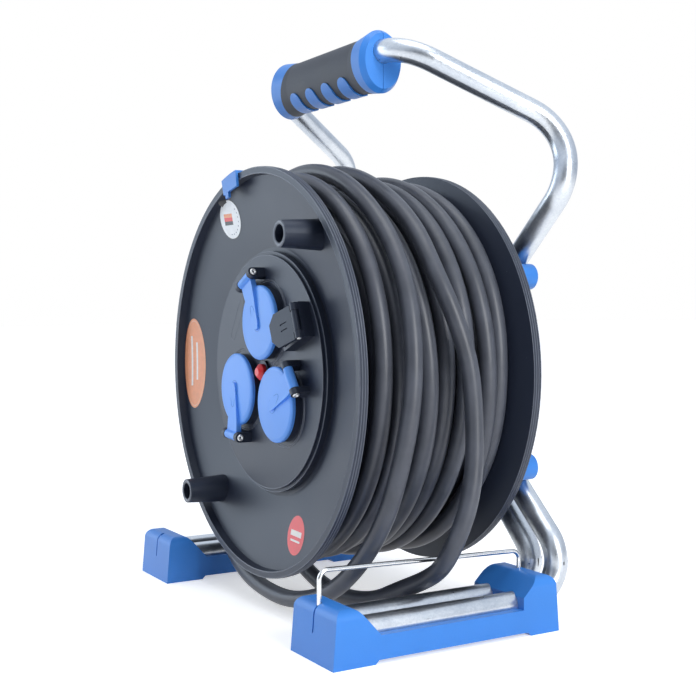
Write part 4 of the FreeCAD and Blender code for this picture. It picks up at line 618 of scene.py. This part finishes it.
def add_bump(tree, shader, source, depth, strength):
    bump = node(tree, "Bump", Distance=depth, Strength=strength)
    wire(tree, source, "Fac", bump, "Height")
    wire(tree, bump, "Normal", shader, "Normal")


def add_roughness(tree, shader, source, output, smooth, rough):
    spread = node(tree, "MapRange", To_Min=smooth, To_Max=rough)
    wire(tree, source, output, spread, "Value")
    wire(tree, spread, "Result", shader, "Roughness")


print("a shade of mid grey:", shade((0.5, 0.5, 0.5), 0.85))

# %% [markdown]
# ## Galvanised steel
# The tubes are zinced. Zinc sets in crystals of about a millimetre that sparkle where the light
# grazes them, and a bent tube mirrors the room in long soft streaks. The streaks could be painted,
# but then they would stay where they are when the view turns, so they are left to the lamps.
# Voronoi cells set how bright and how smooth each crystal is, a slow noise makes some stretches
# duller, and fine noise on top roughens the skin.

# %% Galvanised tube
CRYSTALS, DULL_STRETCHES, ZINC_SKIN = 900.0, 24.0, 1300.0
ZINC_DARK, ZINC_BRIGHT = (0.60, 0.63, 0.665), (0.70, 0.725, 0.75)


def galvanised(name):
    material, tree, shader = finish_start(name, (0.6, 0.62, 0.63), 0.3, 1.0)
    place = node(tree, "TexCoord")
    crystals = texture(tree, place, "Voronoi", Scale=CRYSTALS)
    tint = ramp(tree, crystals, "Color", 0.1, 0.95, ZINC_DARK, ZINC_BRIGHT)
    stretches = texture(tree, place, "Noise", Scale=DULL_STRETCHES, Detail=3.0)
    dull = ramp(tree, stretches, "Fac", 0.45, 0.65, (1.0, 1.0, 1.0), (0.82, 0.84, 0.87))
    wire(tree, multiplied(tree, tint, dull), "Color", shader, "Base Color")
    add_roughness(tree, shader, crystals, "Color", 0.27, 0.34)
    skin = texture(tree, place, "Noise", Scale=ZINC_SKIN, Detail=2.0)
    add_bump(tree, shader, skin, 0.00003, 0.16)
    return material


FINISHES["galvanised_tube"] = galvanised("galvanised_tube")
print("a zinc crystal is about %.1f mm across" % (1 / CRYSTALS / MM))

# %% [markdown]
# ## Dust
# Some dust always lies on dark parts. Painting it everywhere would make the part grey, so two
# textures have to agree before a speck shows: Voronoi cells give a small dot each, and a noise
# picks the few places where the dots may be seen.

# %% Dust
DUST_SPECKS, DUST_PLACES = 230.0, 90.0
DUST_GREY = (0.7, 0.7, 0.7, 1)


def dusted(tree, place, tint, dust):
    specks = texture(tree, place, "Voronoi", Scale=DUST_SPECKS)
    small = ramp(tree, specks, "Distance", 0.03, 0.05, (1, 1, 1), (0, 0, 0))
    places = texture(tree, place, "Noise", Scale=DUST_PLACES, Detail=1.0)
    few = ramp(tree, places, "Fac", 0.62, 0.66, (0, 0, 0), (dust, dust, dust))
    share = node(tree, "Math", operation="MULTIPLY")
    wire(tree, small, "Color", share, 0)
    wire(tree, few, "Color", share, 1)
    dusty = node(tree, "MixRGB")
    dusty.inputs[2].default_value = DUST_GREY
    wire(tree, share, "Value", dusty, 0)
    wire(tree, tint, "Color", dusty, 1)
    return dusty


print("dust specks are about %.1f mm apart" % (1 / DUST_SPECKS / MM))

# %% [markdown]
# ## Moulded plastics
# A moulded part copies its steel mould, and the mould has been eroded to a fine even grain. That
# grain is what keeps black plastic from looking like glass. Colour varies by a few percent where
# the melt flowed. One recipe serves every plastic of the reel, and a table gives each its colour,
# roughness, grain and, for the black one, dust. The lids are a lighter blue than the feet and the
# grip, partly their own plastic and partly painted light where they face the lamps. Edges that
# many hands and cables have touched are smoother, and paler as a painted highlight.

# %% Moulded plastic
COOL_SHEEN = (0.86, 0.93, 1.0, 1.0)
FLOW_CLOUDS, FLOW = 14.0, 0.06
ROUGHNESS_SPREAD = 0.05
PLASTICS = {
    "blue_plastic": ((0.042, 0.230, 0.700), 0.38, 900.0, 0.00008),
    "black_plastic": ((0.016, 0.021, 0.038), 0.42, 1500.0, 0.00008, 0.45),
    "red_plastic": ((0.90, 0.030, 0.035), 0.3, 900.0, 0.00005),
    "white_nylon": ((0.75, 0.74, 0.7), 0.4, 900.0, 0.00005),
    "wire_sheath": ((0.35, 0.2, 0.1), 0.4, 900.0, 0.00003),
    # The lids' paler blue is partly their own plastic and partly painted light where they face the lamps.
    "lid_blue": ((0.110, 0.345, 0.930), 0.36, 1100.0, 0.00005),
    # A paler grey than the black plastic: a painted highlight on beads, lips and the trough's edge, which are also
    # smoother.
    "painted_highlight_edge": ((0.105, 0.115, 0.145), 0.24, 2000.0, 0.00003),
}


def moulded(name, colour, roughness, grain_scale, grain_depth, dust=0.0):
    material, tree, shader = finish_start(name, colour, roughness)
    place = node(tree, "TexCoord")
    clouds = texture(tree, place, "Noise", Scale=FLOW_CLOUDS, Detail=3.0)
    tint = ramp(tree, clouds, "Fac", 0.3, 0.7, shade(colour, 1 - FLOW), shade(colour, 1 + FLOW))
    shown = dusted(tree, place, tint, dust) if dust else tint
    wire(tree, shown, "Color", shader, "Base Color")
    add_roughness(tree, shader, clouds, "Fac", roughness - ROUGHNESS_SPREAD, roughness + ROUGHNESS_SPREAD)
    grain = texture(tree, place, "Noise", Scale=grain_scale, Detail=2.0)
    add_bump(tree, shader, grain, grain_depth, 0.6)
    shader.inputs["Specular Tint"].default_value = COOL_SHEEN
    return material


for name, values in PLASTICS.items():
    FINISHES[name] = moulded(name, *values)
print("plastics:", len(PLASTICS))

# %% [markdown]
# ## Rubber
# The cable's sheath is a matt rubber that has been dragged over floors. One even roughness would
# look like wet paint, so a noise of about two centimetres makes it shine more in some places and
# less in others, and a fine grain on top breaks the highlight.

# %% Rubber
WEAR, RUBBER_GRAIN = 60.0, 1600.0
RUBBERS = {
    "black_rubber": ((0.036, 0.041, 0.054), 0.5, 0.66),
    "cable_rubber": ((0.060, 0.066, 0.084), 0.34, 0.44),
}


def rubber(name, colour, smooth, rough):
    material, tree, shader = finish_start(name, colour, rough)
    place = node(tree, "TexCoord")
    wear = texture(tree, place, "Noise", Scale=WEAR, Detail=5.0)
    tint = ramp(tree, wear, "Fac", 0.35, 0.7, shade(colour, 0.85), shade(colour, 1.2))
    wire(tree, tint, "Color", shader, "Base Color")
    add_roughness(tree, shader, wear, "Fac", smooth, rough)
    grain = texture(tree, place, "Noise", Scale=RUBBER_GRAIN, Detail=2.0)
    add_bump(tree, shader, grain, 0.00008, 0.5)
    return material


for name, values in RUBBERS.items():
    FINISHES[name] = rubber(name, *values)
print("rubbers:", sorted(RUBBERS))

# %% [markdown]
# ## Plated metal
# Screws, pins, eyelets and the wire bail are plated and nearly smooth. A mirror would show the
# lamps too sharply, and a noise of a few millimetres in the roughness is enough to break their
# reflections.

# %% Plated metal
HAZE = 350.0
METALS = {
    "zinc_steel": ((0.62, 0.62, 0.6), 0.22, 0.4),
    "bright_wire": ((0.8, 0.8, 0.79), 0.1, 0.22),
    "brass": ((0.72, 0.55, 0.26), 0.2, 0.38),
    "eyelet_metal": ((0.95, 0.95, 0.94), 0.45, 0.55),
}


def plated(name, colour, smooth, rough):
    material, tree, shader = finish_start(name, colour, smooth, 1.0)
    haze = texture(tree, node(tree, "TexCoord"), "Noise", Scale=HAZE, Detail=4.0)
    tint = ramp(tree, haze, "Fac", 0.3, 0.7, shade(colour, 0.85), colour)
    wire(tree, tint, "Color", shader, "Base Color")
    add_roughness(tree, shader, haze, "Fac", smooth, rough)
    return material


for name, values in METALS.items():
    FINISHES[name] = plated(name, *values)
print("metals:", sorted(METALS))

# %% [markdown]
# ## Give every piece its finish
# The model's record names a finish for each of its pieces, so a loop can hand them out and none
# is forgotten. The lids alone get a blue of their own, paler partly by their own plastic and partly
# as painted light where they face the lamps. Beads, lips and the trough's edge are part of the black
# plastic that they sit on, smoother where worn by use and paler as a painted highlight, and the loops
# on the lids are of the darker blue.

# %% Give every piece its finish
for part in frame["record"]["subparts"]:
    # The lids' own blue is paler, partly their plastic and partly painted light where they face the lamps.
    finish = "lid_blue" if part["node"] in LID_CENTRES else part["material_slot"]
    surface = nodes[part["node"]].data
    surface.materials.clear()
    surface.materials.append(FINISHES[finish])
for finish, pieces in (("cable_rubber", [loose_end, outer_turns, second_layer, third_layer]),
                       ("painted_highlight_edge", highlighted_pieces), ("eyelet_metal", eyelets), ("blue_plastic", lid_lines)):
    for piece in pieces:
        piece.data.materials.append(FINISHES[finish])
    print(finish, "on", len(pieces), "pieces made here")

# %% [markdown]
# ## Printed film
# A sticker is printed film: even colour, a faint mottle and a half gloss. Its colour could be a
# flat value, but the mottle is what tells ink on film from painted plastic. Layers of one colour
# share one finish.

# %% Printed film
MOTTLE = 320.0


def printed_film(name, colour):
    material, tree, shader = finish_start(name, colour, 0.34)
    mottle = texture(tree, node(tree, "TexCoord"), "Noise", Scale=MOTTLE, Detail=3.0)
    tint = ramp(tree, mottle, "Fac", 0.35, 0.65, shade(colour, 0.93), colour)
    wire(tree, tint, "Color", shader, "Base Color")
    add_roughness(tree, shader, mottle, "Fac", 0.28, 0.42)
    return material


films = {}
for item, colour in stickers.items():
    if colour not in films:
        films[colour] = printed_film("film_%d" % (len(films) + 1), colour)
    item.data.materials.append(films[colour])
print("films:", len(films))

# %% [markdown]
# ## Which rays see the surroundings
# The photograph is a bright packshot, white all round. More light on the object would wash out
# its colours, so white is given only to what looks at the surroundings: the camera, and the rays
# that a shiny or clear surface sends out. Light Path tells them apart.

# %% Rays that see
PURE_WHITE = (1, 1, 1, 1)


def seen_rays(tree):
    rays = node(tree, "LightPath")
    shiny = node(tree, "Math", operation="MAXIMUM")
    wire(tree, rays, "Is Glossy Ray", shiny, 0)
    wire(tree, rays, "Is Transmission Ray", shiny, 1)
    seen = node(tree, "Math", operation="MAXIMUM")
    wire(tree, rays, "Is Camera Ray", seen, 0)
    wire(tree, shiny, "Value", seen, 1)
    return seen


print("the surroundings are seen as", PURE_WHITE[:3])

# %% [markdown]
# ## The floor's finish
# The floor is pale and takes the object's shadow. What is seen of it is lifted to white by a
# little light of its own, more of it further off, where the lamps no longer reach. That light
# falls on nothing else.

# %% Floor finish
FLOOR_PALE, FLOOR_PALER = (0.9, 0.9, 0.905), (0.92, 0.92, 0.925)
FLOOR_NEAR, FLOOR_FAR = 0.3, 2.6
LIFT_NEAR, LIFT_FAR = 0.50, 0.74


def floor_finish():
    material, tree, shader = finish_start("floor", FLOOR_PALE, 0.6)
    place = node(tree, "TexCoord")
    clouds = texture(tree, place, "Noise", Scale=3.0, Detail=2.0)
    tint = ramp(tree, clouds, "Fac", 0.3, 0.7, FLOOR_PALE, FLOOR_PALER)
    wire(tree, tint, "Color", shader, "Base Color")
    shader.inputs["Specular IOR Level"].default_value = 0.1
    shader.inputs["Emission Color"].default_value = PURE_WHITE
    distance = node(tree, "VectorMath", operation="LENGTH")
    wire(tree, place, "Object", distance, 0)
    lift = node(tree, "MapRange", interpolation_type="SMOOTHSTEP", From_Min=FLOOR_NEAR, From_Max=FLOOR_FAR,
                To_Min=LIFT_NEAR, To_Max=LIFT_FAR)
    wire(tree, distance, "Value", lift, "Value")
    shown = node(tree, "Math", operation="MULTIPLY")
    wire(tree, seen_rays(tree), "Value", shown, 0)
    wire(tree, lift, "Result", shown, 1)
    wire(tree, shown, "Value", shader, "Emission Strength")
    return material


print("the floor's own light goes from", LIFT_NEAR, "to", LIFT_FAR)

# %% [markdown]
# ## The floor
# The floor is one large square face. A curved backdrop would do as well, but the reel is seen from
# all round, and a flat floor that reaches far out looks the same from every side.

# %% Floor
FLOOR_HALF = 12.0
FLOOR_CORNERS = [(-FLOOR_HALF, -FLOOR_HALF, 0), (FLOOR_HALF, -FLOOR_HALF, 0), (FLOOR_HALF, FLOOR_HALF, 0),
                 (-FLOOR_HALF, FLOOR_HALF, 0)]
floor_mesh = bpy.data.meshes.new("floor")
floor_mesh.from_pydata(FLOOR_CORNERS, [], [(0, 1, 2, 3)])
floor = bpy.data.objects.new("floor", floor_mesh)
bpy.context.scene.collection.objects.link(floor)
floor_mesh.materials.append(floor_finish())
print("the floor is", 2 * FLOOR_HALF, "m wide")

# %% [markdown]
# ## A studio for the shiny pieces
# A metal tube shows only what stands round it. In an even white room it would look like paper, so
# the world has a studio's darker side: the room behind the photographer, and low down. The camera
# itself sees plain white. As a lamp the world is weaker, so that colours stay as written.

# %% World
WORLD_LAMP, WORLD_SEEN = 0.42, 1.0
ROOM_SIDE = Vector((0.86, -0.5, -0.05)).normalized()
WINDOWS, DARK_ROOM = (0.84, 0.92, 1.04), (0.20, 0.22, 0.25)
LOW_WALLS, CEILING = (0.66, 0.67, 0.69), (1.0, 1.0, 1.0)

world = bpy.data.worlds.new("world")
bpy.context.scene.world = world
world.use_nodes = True
sky = world.node_tree
background = sky.nodes["Background"]
place = node(sky, "TexCoord")
toward_room = node(sky, "VectorMath", operation="DOT_PRODUCT")
toward_room.inputs[1].default_value = ROOM_SIDE
wire(sky, place, "Generated", toward_room, 0)
room = ramp(sky, toward_room, "Value", 0.62, 0.93, WINDOWS, DARK_ROOM)
height = node(sky, "SeparateXYZ")
wire(sky, place, "Generated", height, "Vector")
walls = ramp(sky, height, "Z", 0.0, 0.6, LOW_WALLS, CEILING)
studio = multiplied(sky, room, walls)
plain = node(sky, "MixRGB")
plain.inputs[2].default_value = PURE_WHITE
wire(sky, node(sky, "LightPath"), "Is Camera Ray", plain, 0)
wire(sky, studio, "Color", plain, 1)
wire(sky, plain, "Color", background, "Color")
level = node(sky, "MapRange", To_Min=WORLD_LAMP, To_Max=WORLD_SEEN)
wire(sky, seen_rays(sky), "Value", level, "Value")
wire(sky, level, "Result", background, "Strength")
print("world seen at", WORLD_SEEN, "and a lamp of", WORLD_LAMP)

# %% [markdown]
# ## Three soft lamps
# One tall soft window to the right of the camera draws the streaks on the tubes, a cooler one on
# the left, before the drum's face, gives the black plastic its broad sheen, and one overhead gives
# the cable its highlights. Small hard lamps would do it with less power, but their edges would
# show on the plastic.

# %% Lamps
LAMP_TARGET = Vector((0, 0, 0.2))


def soft_lamp(name, place, width, height, power, colour=(1.0, 1.0, 1.0)):
    data = bpy.data.lights.new(name, "AREA")
    data.color = colour
    data.shape = "RECTANGLE"
    data.size = width
    data.size_y = height
    data.energy = power
    item = bpy.data.objects.new(name, data)
    bpy.context.scene.collection.objects.link(item)
    item.location = place
    item.rotation_euler = (LAMP_TARGET - Vector(place)).to_track_quat("-Z", "Y").to_euler()
    print(name, "of", power, "watts")


soft_lamp("right_window", (1.7, 0.1, 0.8), width=0.6, height=1.3, power=22)
soft_lamp("front_window", (-1.35, -1.15, 0.55), width=1.2, height=1.2, power=12, colour=(0.80, 0.90, 1.0))
soft_lamp("top_window", (0.2, -0.1, 1.8), width=1.1, height=1.1, power=11)

# %% [markdown]
# ## The view
# The render shows colours as they are written, through Blender's standard view.

# %% Standard view
bpy.context.scene.view_settings.view_transform = "Standard"
